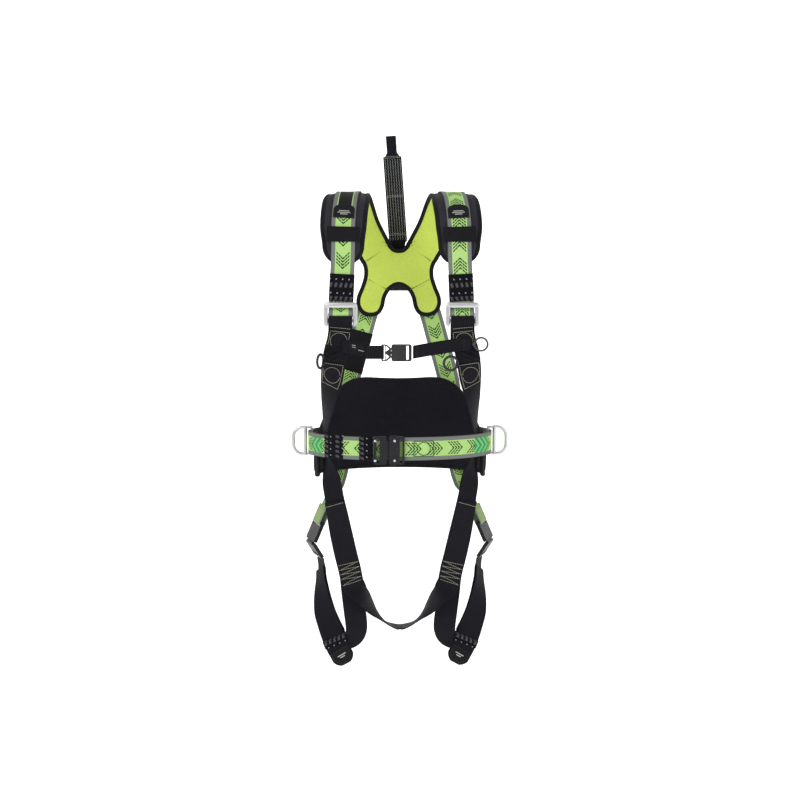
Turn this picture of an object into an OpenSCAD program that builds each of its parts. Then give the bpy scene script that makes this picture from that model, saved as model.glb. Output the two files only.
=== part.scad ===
// Full-body climbing and work-positioning harness.
// Lengths are millimetres. Left is -X, the front is -Y and up is +Z.
// Routes are written with Z from the lowest strap end, then placed so that
// the dorsal attachment, which the harness hangs from, is the origin.

/* [Webbing] */
// Width of the main webbing
web_w = 45; // [42:1:46]
// Thickness of the main webbing
web_t = 2.2; // [1.6:0.1:2.4]
// Width of the chest strap
chest_w = 25; // [22:1:26]
// Thickness of the chest strap
chest_t = 1.6; // [1.2:0.1:1.8]

/* [Pads] */
// Thickness of the back pad and the shoulder pads
pad_t = 9; // [7:0.5:10]
// Thickness of the waist pad
waist_pad_t = 10; // [8:0.5:11]

/* [Belt] */
// Half width of the belt, side to side
belt_a = 183; // [182:0.5:184]
// Half depth of the belt, front to back
belt_b = 112; // [111.5:0.5:113]
// Height of the middle of the belt
belt_z = 447; // [444:1:450]

/* [Hardware] */
// Width of a quick buckle, across the webbing
buckle_w = 54; // [53:1:58]
// Thickness of a quick buckle
buckle_t = 7; // [7:0.5:8]
// Bar radius of a side ring and of the dorsal ring
ring_bar_r = 3.5; // [3:0.1:3.5]
// Outer radius of the chest parking ring
park_ring_r = 14; // [13.5:0.5:14.5]
// Radius of the hole in the chest parking ring
park_hole_r = 10.5; // [10:0.5:11]

/* [Colours] */
// Webbing
lime = "yellowgreen"; // [yellowgreen, greenyellow]
// Black textile and plastic
black = "dimgray"; // [dimgray, black]
// Metal
silver = "silver"; // [silver, lightgray]

/* [Hidden] */
$fn = 48;
gap = 0.4;
hang = [0, 136, 797];
steps = 4;

// A route is a list of rows: x, y, z, then the direction across the webbing,
// then the width. It is walked from its first row to its last.

// Shoulder strap, from its tail behind the adjuster bar, up over the shoulder,
// down the back, and out to the buckle at the back of the leg.
main_route = [
    [-114, -117.5, 722, -1, 0, 0, web_w],
    [-114, -117.5, 717, -1, 0, 0, web_w],
    [-114, -118.6, 712, -1, 0, 0, web_w],
    [-114, -121.8, 705.5, -1, 0, 0, web_w],
    [-114, -123.2, 701.2, -1, 0, 0, web_w],
    [-114, -126, 699.9, -1, 0, 0, web_w],
    [-114, -128.8, 701.2, -1, 0, 0, web_w],
    [-114, -129.8, 704.6, -1, 0, 0, web_w],
    [-114, -127.6, 710.2, -1, 0, 0, web_w],
    [-114, -122.8, 714.4, -1, 0, 0, web_w],
    [-114, -121, 720, -1, 0, 0, web_w],
    [-113.5, -121, 729, -1, 0, 0, web_w],
    [-111.5, -121, 769, -1, 0, 0, web_w],
    [-110, -121, 799, -1, 0, 0, web_w],
    [-109, -120.5, 832, -1, 0, 0, web_w],
    [-109, -116, 866, -1, 0, 0, web_w],
    [-107, -101, 900, -1, 0, 0, web_w],
    [-104, -70, 926, -1, 0, 0, web_w],
    [-101, -24, 939, -1, 0, 0, web_w],
    [-97, 26, 937, -0.98, -0.05, -0.15, web_w],
    [-89, 72, 914, -0.93, -0.1, -0.35, web_w],
    [-76, 104, 877, -0.85, -0.1, -0.5, web_w],
    [-56, 119, 840, -0.78, 0, -0.62, web_w],
    [-40, 124, 812, -0.85, 0, -0.5, web_w],
    [-34, 125, 780, -1, 0, 0, web_w],
    [-45, 124, 748, -0.93, 0, 0.36, web_w],
    [-57, 122, 722, -0.9, 0, 0.42, web_w],
    [-67, 119.5, 697, -0.92, 0, 0.38, web_w],
    [-80, 115, 650, -0.93, -0.1, 0.3, web_w],
    [-94, 107, 600, -0.95, -0.2, 0.2, web_w],
    [-103, 96, 562, -0.93, -0.3, 0.1, web_w],
    [-108, 87.5, 530, -0.9, -0.43, 0, web_w],
    [-112, 83.3, 482, -0.89, -0.45, 0, web_w],
    [-117, 80.4, 447, -0.89, -0.455, 0, web_w],
    [-121, 79, 412, -0.88, -0.47, 0, web_w],
    [-125, 77.2, 382, -0.86, -0.5, 0, web_w],
    [-130, 64, 365, -0.7, -0.7, 0, web_w],
    [-134, 46, 357.5, -0.4, -0.9, 0, web_w],
    [-137.5, 27, 352, 0, -1, 0, web_w],
    [-139.4, 12.5, 344.5, 0.25, -0.96, 0, web_w],
    [-142.2, 6.5, 334.5, 0.342, -0.94, 0, web_w],
    [-148, 4.2, 320.3, 0.342, -0.94, 0, web_w],
    [-154.2, 1.9, 305.7, 0.342, -0.94, 0, web_w]
];
pad_first = 13;
pad_last = 22;
pad_gap = 1.8;
pad_widths = [36, 79, 87, 89, 89, 80, 77, 76, 75, 73.5];

// Front strap, from its tail behind the adjuster, down past the belt and the
// front of the thigh, round under it and up the outside to the leg buckle.
front_route = [
    [-115, -119.4, 655, 1, 0, 0, web_w],
    [-115, -119.4, 671, 1, 0, 0, web_w],
    [-115, -120.4, 684, 1, 0, 0, web_w],
    [-115, -121.6, 692, 1, 0, 0, web_w],
    [-115, -123, 695.4, 1, 0, 0, web_w],
    [-115, -126.5, 696.9, 1, 0, 0, web_w],
    [-115, -130, 695.4, 1, 0, 0, web_w],
    [-115, -131.4, 692, 1, 0, 0, web_w],
    [-115, -130, 684, 1, 0, 0, web_w],
    [-115, -126, 676, 1, 0, 0, web_w],
    [-116, -123.8, 667, 1, 0, 0, web_w],
    [-118, -122.4, 655, 1, 0, 0, web_w],
    [-123, -120, 636, 1, 0, 0, web_w],
    [-128, -116, 612, 1, 0, 0, web_w],
    [-132, -107, 584, 0.93, -0.36, 0, web_w],
    [-139, -90, 550, 0.66, -0.75, 0, web_w],
    [-144, -69, 518, 0.42, -0.9, 0, web_w],
    [-147.5, -50, 488, 0.24, -0.97, 0, web_w],
    [-149, -38, 465, 0.17, -0.985, 0, web_w],
    [-147.5, -35, 425, 0.22, -0.975, 0, web_w],
    [-143, -44, 402, 0.5, -0.86, 0.08, web_w],
    [-136, -58, 375, 0.8, -0.58, 0.15, web_w],
    [-130, -69, 345, 0.82, -0.5, 0.25, web_w],
    [-124, -69, 315, 0.85, -0.42, 0.25, web_w],
    [-117, -66, 275, 0.92, -0.2, 0.25, web_w],
    [-108, -61, 230, 0.95, 0, 0.25, web_w],
    [-99, -57, 190, 0.95, 0.05, 0.25, web_w],
    [-95, -53.5, 150, 0.97, 0.15, 0.2, web_w],
    [-91, -50, 112, 0.96, 0.25, 0.12, web_w],
    [-88, -47, 84, 0.95, 0.3, 0, web_w],
    [-89, -44.5, 67, 0.88, 0.38, -0.25, web_w],
    [-96.5, -42.5, 55, 0.57, 0.38, -0.72, web_w],
    [-111, -41, 50, 0, 0.35, -0.94, web_w],
    [-125, -40, 55.5, -0.57, 0.3, -0.77, web_w],
    [-134, -39, 69, -0.88, 0.15, -0.45, web_w],
    [-143, -38, 87, -0.93, 0.15, -0.33, web_w],
    [-151, -33.5, 110, -0.88, 0.35, -0.3, web_w],
    [-155.5, -25, 141, -0.68, 0.7, -0.2, web_w],
    [-157.5, -13, 172, -0.4, 0.9, -0.1, web_w],
    [-158.5, -3.5, 192, -0.342, 0.94, 0, web_w],
    [-161.2, -0.7, 210, -0.342, 0.94, 0, web_w]
];

// Tail of the leg strap, which hangs through its keeper and ends in a tab.
tail_route = [
    [-161.9, -5, 189, 0.342, -0.94, 0, web_w],
    [-161.1, -14.9, 170, 0.42, -0.9, 0.1, web_w],
    [-158.6, -27.9, 141, 0.68, -0.7, 0.2, web_w],
    [-152.9, -38, 110, 0.88, -0.35, 0.3, web_w],
    [-144.5, -43.5, 87, 0.93, -0.1, 0.34, web_w],
    [-137, -49, 66, 0.9, 0, 0.42, web_w],
    [-129, -53.5, 47, 0.88, 0, 0.46, web_w],
    [-121, -57, 33, 0.87, 0, 0.49, web_w],
    [-114.5, -60, 22, 0.87, 0, 0.49, 43],
    [-110, -61.5, 14, 0.87, 0, 0.49, 36],
    [-107.5, -62.5, 9.5, 0.87, 0, 0.49, 22]
];

// Half of the seat strap, from where it leaves the thigh to under the seat.
half_seat_route = [
    [-98.8, -60.1, 189.8, 0.98, 0.06, 0.17, web_w],
    [-93.5, -62.6, 169, 0.97, 0.12, 0.22, web_w],
    [-76.5, -65.5, 150, 0.42, 0.79, 0.44, web_w],
    [-62, -47, 127, 0.1, 0.79, 0.6, web_w],
    [-49, -27, 107, -0.24, 0.8, 0.54, web_w],
    [-35, -8, 87, -0.5, 0.8, 0.32, web_w],
    [-20, 8, 70, -0.45, 0.86, 0.08, web_w],
    [-9.5, 15, 62.5, -0.24, 0.96, -0.02, web_w],
    [0.3, 17, 60.5, 0, 0.99, -0.1, web_w]
];

// Chest strap halves, each sewn to a front strap.
left_chest_route = [
    [-112, -126.4, 645, 0, 0, 1, chest_w],
    [-92, -126.4, 642.5, 0, 0, 1, chest_w],
    [-74, -126.4, 638.5, 0, 0, 1, chest_w],
    [-65, -126.4, 636, 0, 0, 1, chest_w]
];
right_chest_route = [
    [21.5, -126.4, 633, 0, 0, 1, chest_w],
    [50, -126.4, 638, 0, 0, 1, chest_w],
    [80, -126.4, 643, 0, 0, 1, chest_w],
    [110, -126.4, 647, 0, 0, 1, chest_w],
    [126, -126.4, 648, 0, 0, 1, chest_w],
    [132.5, -126.4, 648, 0, 0, 1, 12]
];
chest_buckle = [-19, -126.4, 632];
chest_ring_at = [150, -127.6, 648];

// Waist pad outline: angle from the middle of the back, top and bottom.
waist_pad_a = 168;
waist_pad_b = 101;
waist_outline = [
    [0, 566, 378], [12, 567, 378], [24, 569, 378], [33, 567, 378], [40, 560, 378],
    [48, 547, 378], [56, 529, 378], [64, 506, 378], [73, 485, 378], [84, 472, 378],
    [95, 468, 378], [103, 466, 379], [107, 455, 386]
];

function point(r) = [r[0], r[1], r[2]];
function across(r) = [r[3], r[4], r[5]];
function unit(v) = v / norm(v);
function curve(a, b, c, d, t) = 0.5 * ((2 * b) + (c - a) * t + (2 * a - 5 * b + 4 * c - d) * t * t
    + (3 * b - a - 3 * c + d) * t * t * t);
function smooth(rows, n = steps) = concat(
    [for (i = [0 : len(rows) - 2], j = [0 : n - 1])
        curve(rows[max(i - 1, 0)], rows[i], rows[i + 1], rows[min(i + 2, len(rows) - 1)], j / n)],
    [rows[len(rows) - 1]]);
function part_of(rows, first, last) = [for (i = [first : last]) rows[i]];
function heading(rows, i) =
    unit(point(rows[min(i + 1, len(rows) - 1)]) - point(rows[max(i - 1, 0)]));
// Rows whose width points straight up stay upright; others are squared to the heading.
function side(rows, i) =
    let (h = heading(rows, i), a = across(rows[i]))
    a[2] == 1 ? a : unit(a - (a * h) * h);
function face(rows, i) = unit(cross(heading(rows, i), side(rows, i)));

// The same route moved off its own face, with a new width where one is given.
function raised(rows, lift, width = 0) = [for (i = [0 : len(rows) - 1])
    let (p = point(rows[i]) + lift * face(rows, i), s = side(rows, i))
    [p[0], p[1], p[2], s[0], s[1], s[2], width > 0 ? width : rows[i][6]]];
function with_widths(rows, widths) = [for (i = [0 : len(rows) - 1])
    let (r = rows[i]) [r[0], r[1], r[2], r[3], r[4], r[5], widths[i]]];
function oval(a, b, z, width, from, to, n) = [for (i = [0 : n])
    let (q = from + (to - from) * i / n) [a * sin(q), -b * cos(q), z, 0, 0, 1, width]];

function section(rows, i, t, grow = 0) =
    let (p = point(rows[i]), u = side(rows, i) * (rows[i][6] / 2 + grow),
         v = face(rows, i) * (t / 2 + grow))
    [p - u - v, p + u - v, p + u + v, p - u + v];
function quad(a, b, c, d) = [[a, b, c], [a, c, d]];
function flat(lists) = [for (l = lists, x = l) x];

module place() translate(-hang) children();

// Flat webbing or a flat pad swept along a route.
module band(rows, t) {
    last = len(rows) - 1;
    points = flat([for (i = [0 : last]) section(rows, i, t)]);
    // Opposite faces are split along the same diagonal, so the band keeps its thickness.
    walls = flat([for (i = [0 : last - 1], k = [0 : 3])
        let (a = 4 * i + k, b = a + 4, d = 4 * i + (k + 1) % 4, c = d + 4)
        k < 2 ? quad(a, b, c, d) : quad(b, c, d, a)]);
    ends = concat(quad(0, 1, 2, 3), quad(4 * last + 3, 4 * last + 2, 4 * last + 1, 4 * last));
    polyhedron(points, concat(walls, ends));
}

// A flat tube that goes round webbing along a route.
module sleeve(rows, t, wall) {
    last = len(rows) - 1;
    points = flat([for (i = [0 : last]) concat(section(rows, i, t, wall), section(rows, i, t))]);
    faces = [for (i = [0 : last - 1], k = [0 : 3])
        let (a = 8 * i + k, b = 8 * i + (k + 1) % 4)
        concat(quad(a, a + 8, b + 8, b), quad(b + 4, b + 12, a + 12, a + 4))];
    ends = [for (k = [0 : 3])
        let (a = k, b = (k + 1) % 4, c = 8 * last + k, d = 8 * last + (k + 1) % 4)
        concat(quad(a, b, b + 4, a + 4), quad(c + 4, d + 4, d, c))];
    polyhedron(points, concat(flat(faces), flat(ends)));
}

module round_plate(w, h, r, t) linear_extrude(t) union() {
    square([w - 2 * r, h], center = true);
    square([w, h - 2 * r], center = true);
    for (x = [-1, 1], y = [-1, 1]) translate([x * (w / 2 - r), y * (h / 2 - r)]) circle(r);
}

// A bar along Z at the origin and a bow that reaches out along +X.
module bow_ring(height, reach, corner, r) {
    half = height / 2 - r;
    straight = half - corner;
    cylinder(h = 2 * half, r = r, center = true);
    for (s = [-1, 1]) {
        translate([0, 0, s * half]) sphere(r);
        translate([0, 0, s * half]) rotate([0, 90, 0]) cylinder(h = reach - corner, r = r);
    }
    translate([reach, 0, 0]) cylinder(h = 2 * straight, r = r, center = true);
    for (s = [0, 1]) mirror([0, 0, s]) translate([reach - corner, 0, straight])
        rotate([90, 0, 0]) rotate_extrude(angle = 90) translate([corner, 0]) circle(r);
}

// ---- Pads ----

// Half of the back pad, clockwise from the top notch.
back_pad_half = [
    [0, 833], [9, 835], [17, 844], [22, 854], [77, 805], [74, 798], [72, 789],
    [73, 774], [79, 755], [87, 735], [88, 718], [81, 703], [68, 695], [52, 694],
    [39, 700], [31, 714], [27, 732], [19, 747], [8, 755], [0, 757]
];

module back_pad() color(lime) place() translate([0, 112.5 + pad_t / 2, 0]) rotate([90, 0, 0])
    linear_extrude(pad_t) polygon(concat(back_pad_half,
        [for (i = [len(back_pad_half) - 2 : -1 : 1]) [-back_pad_half[i][0], back_pad_half[i][1]]]));

module left_shoulder_pad() color(black) place() {
    rows = with_widths(part_of(main_route, pad_first, pad_last), pad_widths);
    band(raised(smooth(rows, 6), -(pad_t / 2 + web_t / 2 + pad_gap)), pad_t);
}

module right_shoulder_pad() mirror([1, 0, 0]) left_shoulder_pad();

module waist_pad() color(black) place() {
    n = len(waist_outline) - 1;
    rows = [for (i = [-n : n])
        let (o = waist_outline[abs(i)], q = sign(i) * o[0])
        [-waist_pad_a * sin(q), waist_pad_b * cos(q), (o[1] + o[2]) / 2, 0, 0, 1, o[1] - o[2]]];
    band(smooth(rows, 3), waist_pad_t);
}

// ---- Shoulder straps ----

main_rows = smooth(main_route);

module left_main_strap() color(lime) place() band(main_rows, web_t);
module right_main_strap() mirror([1, 0, 0]) left_main_strap();

band_first = 57;
band_last = 60;

module left_pad_band() color(black) place()
    band(raised(part_of(main_rows, band_first, band_last), web_t / 2 + gap + 0.8, 64), 1.6);
module right_pad_band() mirror([1, 0, 0]) left_pad_band();

label_first = 62;
label_last = 65;

module left_shoulder_label() color(black) place()
    band(raised(part_of(main_rows, label_first, label_last), web_t / 2 + gap + 0.5, 40), 1);
module right_shoulder_label() mirror([1, 0, 0]) left_shoulder_label();

keeper_from = [-113.5, -121, 728.5];
keeper_to = [-110.95, -121, 779.5];

module left_keeper() color(black) place()
    sleeve([for (p = [keeper_from, keeper_to]) [p[0], p[1], p[2], -1, 0, 0, web_w + 4 * gap]],
        web_t + 4 * gap, 1);
module right_keeper() mirror([1, 0, 0]) left_keeper();

sleeve_first = 113;
sleeve_last = 122;

module back_strap_sleeve() color(black) place()
    sleeve(raised(part_of(main_rows, sleeve_first, sleeve_last), 0, web_w + 4 * gap),
        web_t + 4 * gap, 0.8);

// ---- Adjusters ----

adjuster_at = [-114.5, -126.5, 704];
frame_w = 61;
frame_h = 46;
window_w = 48;
adjuster_bar_r = 2.3;
lower_bar_z = 692;

module left_adjuster_frame() color(silver) place() {
    difference() {
        translate([adjuster_at[0], adjuster_at[1] + 2.5, adjuster_at[2]]) rotate([90, 0, 0])
            round_plate(frame_w, frame_h, 6, 5);
        translate([adjuster_at[0] - window_w / 2, adjuster_at[1] - 4, 676])
            cube([window_w, 8, 716.5 - 676]);
        translate([adjuster_at[0] - window_w / 2 - 3.2, adjuster_at[1] - 2.6, 701.2])
            cube([window_w + 6.4, 5.2, 8]);
    }
    translate([adjuster_at[0] - window_w / 2 - 1, -126.5, lower_bar_z]) rotate([0, 90, 0])
        cylinder(h = window_w + 2, r = 3);
    translate([adjuster_at[0] - frame_w / 2 + 8, -128.4, 721.7]) rotate([0, 90, 0])
        cylinder(h = frame_w - 16, r = 3.4);
}
module right_adjuster_frame() mirror([1, 0, 0]) left_adjuster_frame();

module left_adjuster_bar() color(silver) place()
    translate([adjuster_at[0] - window_w / 2 - 2.8, -126, adjuster_at[2]]) rotate([0, 90, 0])
        cylinder(h = window_w + 5.6, r = adjuster_bar_r);
module right_adjuster_bar() mirror([1, 0, 0]) left_adjuster_bar();

// ---- Front and leg straps ----

front_rows = smooth(front_route);

module left_front_strap() color(black) place() band(front_rows, web_t);
module right_front_strap() mirror([1, 0, 0]) left_front_strap();

patch_t = 0.8;
upper_patch = [41, 47];
lower_patch = [53, 58];

module left_stitch_patches() color(black) place()
    for (s = [upper_patch, lower_patch])
        band(raised(part_of(front_rows, s[0], s[1]), web_t / 2 + 0.45 + patch_t / 2, 37), patch_t);
module right_stitch_patches() mirror([1, 0, 0]) left_stitch_patches();

gather_t = 4;

module left_loop_gather() color(black) place()
    band(raised(part_of(front_rows, 49, 52), web_t / 2 + 0.3 + gather_t / 2, 40), gather_t);
module right_loop_gather() mirror([1, 0, 0]) left_loop_gather();

// A stiff round sleeve in the end of a textile loop, with its neck. Its hinge
// line is the Z axis of its own frame.
eye_r = 13;
eye_tube_r = 2.2;

module front_eye() {
    translate([-14, 0, 0]) rotate([90, 0, 0]) rotate_extrude() translate([eye_r, 0]) circle(eye_tube_r);
    translate([-1, 0, 0]) cylinder(h = 16, r = 2.8, center = true);
}

left_eye_at = [-146, -127.5, 617];
right_eye_at = [107, -126.6, 612];

module left_front_eye() color(black) place() translate(left_eye_at) rotate([0, 0, 65]) front_eye();
module right_front_eye() color(black) place() translate(right_eye_at) front_eye();

seat_first = 89;
seat_last = 103;

module seat_strap() color(black) place() {
    lying = raised(part_of(front_rows, seat_first, seat_last), web_t + 0.7);
    for (s = [0, 1]) mirror([s, 0, 0]) band(concat(lying, smooth(half_seat_route)), web_t);
}

module left_leg_tail() color(black) place() band(smooth(tail_route), 1.8);
module right_leg_tail() mirror([1, 0, 0]) left_leg_tail();

module left_leg_keeper() color(black) place() {
    rows = [
        [-134.2, -51, 59.4, 0.88, 0, 0.44, web_w + 2],
        [-128, -54, 45.2, 0.88, 0, 0.46, web_w + 2]
    ];
    sleeve(rows, 3.4, 0.9);
}
module right_leg_keeper() mirror([1, 0, 0]) left_leg_keeper();

// ---- Chest strap ----

module left_chest_strap() color(black) place() band(smooth(left_chest_route), chest_t);
module right_chest_strap() color(black) place() band(smooth(right_chest_route), chest_t);

// The sewn eye of the chest strap: two layers round the plug's bar.
module web_eye(length, width, t, inner) {
    outer = inner + t;
    linear_extrude(width, center = true) difference() {
        union() {
            circle(outer);
            translate([-length, -outer]) square([length, 2 * outer]);
        }
        circle(inner);
        translate([-length - 1, -inner]) square([length + 1, 2 * inner]);
    }
}

module chest_plug_loop() color(black) place()
    translate([chest_buckle[0] - 17.5, chest_buckle[1], chest_buckle[2] + 1])
        web_eye(32, chest_w, 1.4, 2.1);

// Side-release buckle in its own frame: X across the chest, Z out to the
// front, and the mouth of the socket at X = 0.
socket_l = 38;
socket_h = 32;
socket_t = 10;

module chest_plug() color(black) place() translate(chest_buckle) rotate([90, 0, 0]) {
    translate([0, 0, -2.2]) linear_extrude(4.4) difference() {
        union() {
            polygon([[-12.4, 15.5], [-9, 15.5], [-1, 9], [-1, -9], [-9, -15.5], [-12.4, -15.5]]);
            translate([-1.5, -3]) square([21, 6]);
            for (s = [-1, 1]) mirror([0, s < 0 ? 1 : 0])
                polygon([[-1.5, 5], [-1.5, 9], [14, 10.4], [20, 8], [20, 6.5], [10, 7]]);
        }
        for (s = [-1, 1]) mirror([0, s < 0 ? 1 : 0])
            polygon([[-10.9, 12.5], [-9.3, 12.5], [-4, 7], [-10.9, 2]]);
    }
    translate([-17.5, 0, 0]) rotate([90, 0, 0]) cylinder(h = 30, r = 1.6, center = true);
    for (s = [-1, 1]) translate([-18, s * 14.8 - 1.1, -1.6]) cube([6, 2.2, 3.2]);
}

module chest_socket() color(black) place() translate(chest_buckle) rotate([90, 0, 0]) {
    difference() {
        translate([socket_l / 2, 0, -socket_t / 2]) round_plate(socket_l, socket_h, 4, socket_t);
        translate([-1, -12, -2.8]) cube([24, 24, 5.6]);
        for (s = [-1, 1]) translate([7, s * 14 - 4, -2.8]) cube([13, 8, 5.6]);
        translate([28, -13.2, -6]) cube([4.5, 26.4, 12]);
    }
}

// The parking ring is a flat ring with a strap slot beside it.
module chest_ring() color("gray") place() translate(chest_ring_at) rotate([90, 0, 0]) {
    translate([0, 0, -2]) difference() {
        union() {
            cylinder(h = 4, r = park_ring_r);
            translate([-16.3, -3.5, 0]) cube([6, 7, 4]);
        }
        translate([0, 0, -1]) cylinder(h = 6, r = park_hole_r);
    }
}

// ---- Dorsal attachment ----

plate_y = 128.2;
plate_t = 3.5;
lug_x = 19;
ring_bar_at = [0, 136.6, 797];
dorsal_reach = 40;

module dorsal_plate() color(black) place() difference() {
    union() {
        translate([0, plate_y + plate_t, 780]) rotate([90, 0, 0]) round_plate(74, 66, 10, plate_t);
        for (s = [-1, 1]) translate([s * lug_x - 4, plate_y, ring_bar_at[2] - 5]) cube([8, 13.4, 10]);
    }
    translate(ring_bar_at) rotate([0, 90, 0]) cylinder(h = 80, r = ring_bar_r + 0.08, center = true);
    for (s = [-1, 1]) translate([s * 20 - 12, plate_y - 1, 762]) cube([24, plate_t + 2, 4]);
}

module dorsal_ring() color(silver) place() translate(ring_bar_at) rotate([0, -90, 0])
    bow_ring(62, dorsal_reach, 13, ring_bar_r);

extension_l = 172;
extension_w = 38;
lean = -4;

module extension_strap() color(black) place()
    translate([0, ring_bar_at[1], ring_bar_at[2] + dorsal_reach]) rotate([0, lean, 0]) {
        difference() {
            rotate([0, 90, 0]) cylinder(h = 28, r = 7.6, center = true);
            rotate([0, 90, 0]) cylinder(h = 30, r = ring_bar_r + 1.5, center = true);
        }
        difference() {
            translate([0, 3.5, 0]) rotate([90, 0, 0]) linear_extrude(7) polygon([
                [-14, 0], [14, 0], [14, 6], [19, 13], [19, extension_l + 13], [10.5, extension_l + 22],
                [10.5, extension_l + 34], [-10.5, extension_l + 34], [-10.5, extension_l + 22],
                [-19, extension_l + 13], [-19, 13], [-14, 6]]);
            rotate([0, 90, 0]) cylinder(h = 30, r = 6, center = true);
        }
        translate([0, 0, extension_l + 32]) rotate([90, 0, 90]) linear_extrude(21, center = true)
            difference() {
                union() {
                    for (z = [0, 20]) translate([0, z]) circle(6.6);
                    translate([-6.6, 0]) square([13.2, 20]);
                }
                for (z = [4, 20]) translate([0, z]) circle(4);
                translate([-4, 4]) square([8, 16]);
            }
    }

// ---- Belt ----

belt_from = -5;
belt_to = 348.5;

module waist_belt() color(lime) place()
    band(oval(belt_a, belt_b, belt_z, web_w, belt_from, belt_to, 90), web_t);

module belt_keeper(from, to) color(black) place()
    sleeve(oval(belt_a, belt_b, belt_z, web_w + 2 * gap, from, to, 4), web_t + 2 * gap, 1);
module outer_belt_keeper() belt_keeper(306.5, 322.5);
module inner_belt_keeper() belt_keeper(334, 343);

side_ring_at = [belt_a + 6.3, 0, belt_z + 2];

module left_side_ring() mirror([1, 0, 0]) right_side_ring();
module right_side_ring() color(silver) place() translate(side_ring_at) {
    bow_ring(61, 24, 19, ring_bar_r);
    for (s = [-1, 1]) translate([-12, 0, s * 27]) rotate([0, 90, 0]) cylinder(h = 12, r = 2.5);
    translate([-12, 0, 0]) cylinder(h = 54, r = 2.5, center = true);
    for (s = [-1, 1]) translate([-12, 0, s * 27]) sphere(2.5);
}

// ---- Quick buckles ----
// Each is drawn in its own frame: the mouth of the socket at X = 0, the
// tongue on the -X side, Y across the webbing and Z out of the body.

cavity_l = 17;
blade_w = 36;
blade_t = 2.6;
slot_w = 47;
tab_travel = 2;

module quick_socket(length) {
    difference() {
        translate([length / 2, 0, 0]) round_plate(length, buckle_w, 5, buckle_t);
        translate([-1, -blade_w / 2 - 0.6, 2]) cube([cavity_l + 1, blade_w + 1.2, blade_t + 0.8]);
        translate([length - 9, -slot_w / 2, -1]) cube([5, slot_w, buckle_t + 2]);
        for (s = [0, 1]) mirror([0, s, 0])
            translate([3.7, buckle_w / 2 - 5.3, 1.5]) cube([10.6, 8, 4]);
    }
}

module press_tab() translate([4, buckle_w / 2 - 2.8, 1.8]) cube([10, 5, 3.4]);

// The tongue's plate is cranked about the knuckle beside the socket's mouth.
module quick_tongue(length, crank) {
    knuckle = buckle_t / 2;
    translate([-knuckle, -blade_w / 2, 2.4]) cube([cavity_l + knuckle - 1.2, blade_w, blade_t]);
    translate([-knuckle - 0.5, 0, knuckle]) rotate([0, crank, 0]) {
        rotate([90, 0, 0]) cylinder(h = blade_w, r = knuckle, center = true);
        difference() {
            translate([-length / 2, 0, -knuckle]) round_plate(length, buckle_w, 3.5, buckle_t);
            translate([-length + 5.5, -slot_w / 2, -buckle_t]) cube([6, slot_w, 2 * buckle_t]);
        }
    }
}

waist_buckle_at = [-24, -113.7, 445];

module at_waist() translate(waist_buckle_at) rotate([90, 0, 0]) children();

module waist_socket() color(black) place() at_waist() quick_socket(30);
module waist_upper_tab() color(black) place() at_waist() press_tab();
module waist_lower_tab() color(black) place() at_waist() mirror([0, 1, 0]) press_tab();
module waist_tongue() color(black) place() at_waist() quick_tongue(25, 0);

rivet_r = 3;

module rivets(x) for (y = [-19, 19]) translate([x, y, buckle_t]) intersection() {
    sphere(rivet_r);
    translate([-4, -4, 0]) cube([8, 8, 4]);
}
module waist_socket_rivets() color(silver) place() at_waist() rivets(11);
module waist_tongue_rivets() color(silver) place() at_waist() rivets(-26);

// The leg buckles: where the mouth is, and how the socket is turned.
leg_mouth = [-176, -6, 246];
leg_lean = -65.6;
leg_turn = 20;
leg_crank = -56;
leg_socket_l = 42;
leg_tongue_l = 34;
leg_loop_l = 35;

module at_leg() translate(leg_mouth) rotate([0, leg_lean, leg_turn]) children();

module left_leg_socket() color(black) place() at_leg() quick_socket(leg_socket_l);
module right_leg_socket() mirror([1, 0, 0]) left_leg_socket();
module left_leg_tongue() color(black) place() at_leg() quick_tongue(leg_tongue_l, leg_crank);
module right_leg_tongue() mirror([1, 0, 0]) left_leg_tongue();
module left_leg_rear_tab() color(black) place() at_leg() press_tab();
module left_leg_front_tab() color(black) place() at_leg() mirror([0, 1, 0]) press_tab();
module right_leg_rear_tab() mirror([1, 0, 0]) left_leg_rear_tab();
module right_leg_front_tab() mirror([1, 0, 0]) left_leg_front_tab();
module left_leg_loop() color(black) place() at_leg()
    translate([leg_socket_l - 2, 0, buckle_t / 2]) rotate([90, 0, 180])
        web_eye(leg_loop_l, web_w, 1.4, buckle_t / 2 + 3 * gap);
module right_leg_loop() mirror([1, 0, 0]) left_leg_loop();

back_pad();
left_shoulder_pad();
right_shoulder_pad();
left_main_strap();
right_main_strap();
left_pad_band();
right_pad_band();
left_shoulder_label();
right_shoulder_label();
left_keeper();
right_keeper();
left_adjuster_frame();
right_adjuster_frame();
left_adjuster_bar();
right_adjuster_bar();
left_front_strap();
right_front_strap();
left_stitch_patches();
right_stitch_patches();
left_loop_gather();
right_loop_gather();
left_front_eye();
right_front_eye();
left_chest_strap();
right_chest_strap();
chest_plug_loop();
chest_plug();
chest_socket();
chest_ring();
dorsal_plate();
dorsal_ring();
extension_strap();
back_strap_sleeve();
waist_pad();
waist_belt();
left_side_ring();
right_side_ring();
waist_socket();
waist_upper_tab();
waist_lower_tab();
waist_tongue();
waist_socket_rivets();
waist_tongue_rivets();
outer_belt_keeper();
inner_belt_keeper();
left_leg_socket();
right_leg_socket();
left_leg_tongue();
right_leg_tongue();
left_leg_front_tab();
left_leg_rear_tab();
right_leg_front_tab();
right_leg_rear_tab();
left_leg_loop();
right_leg_loop();
left_leg_tail();
right_leg_tail();
left_leg_keeper();
right_leg_keeper();
seat_strap();
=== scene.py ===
import math

import bmesh
import bpy
import numpy as np
from mathutils import Matrix, Vector
from mathutils.geometry import delaunay_2d_cdt


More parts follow.
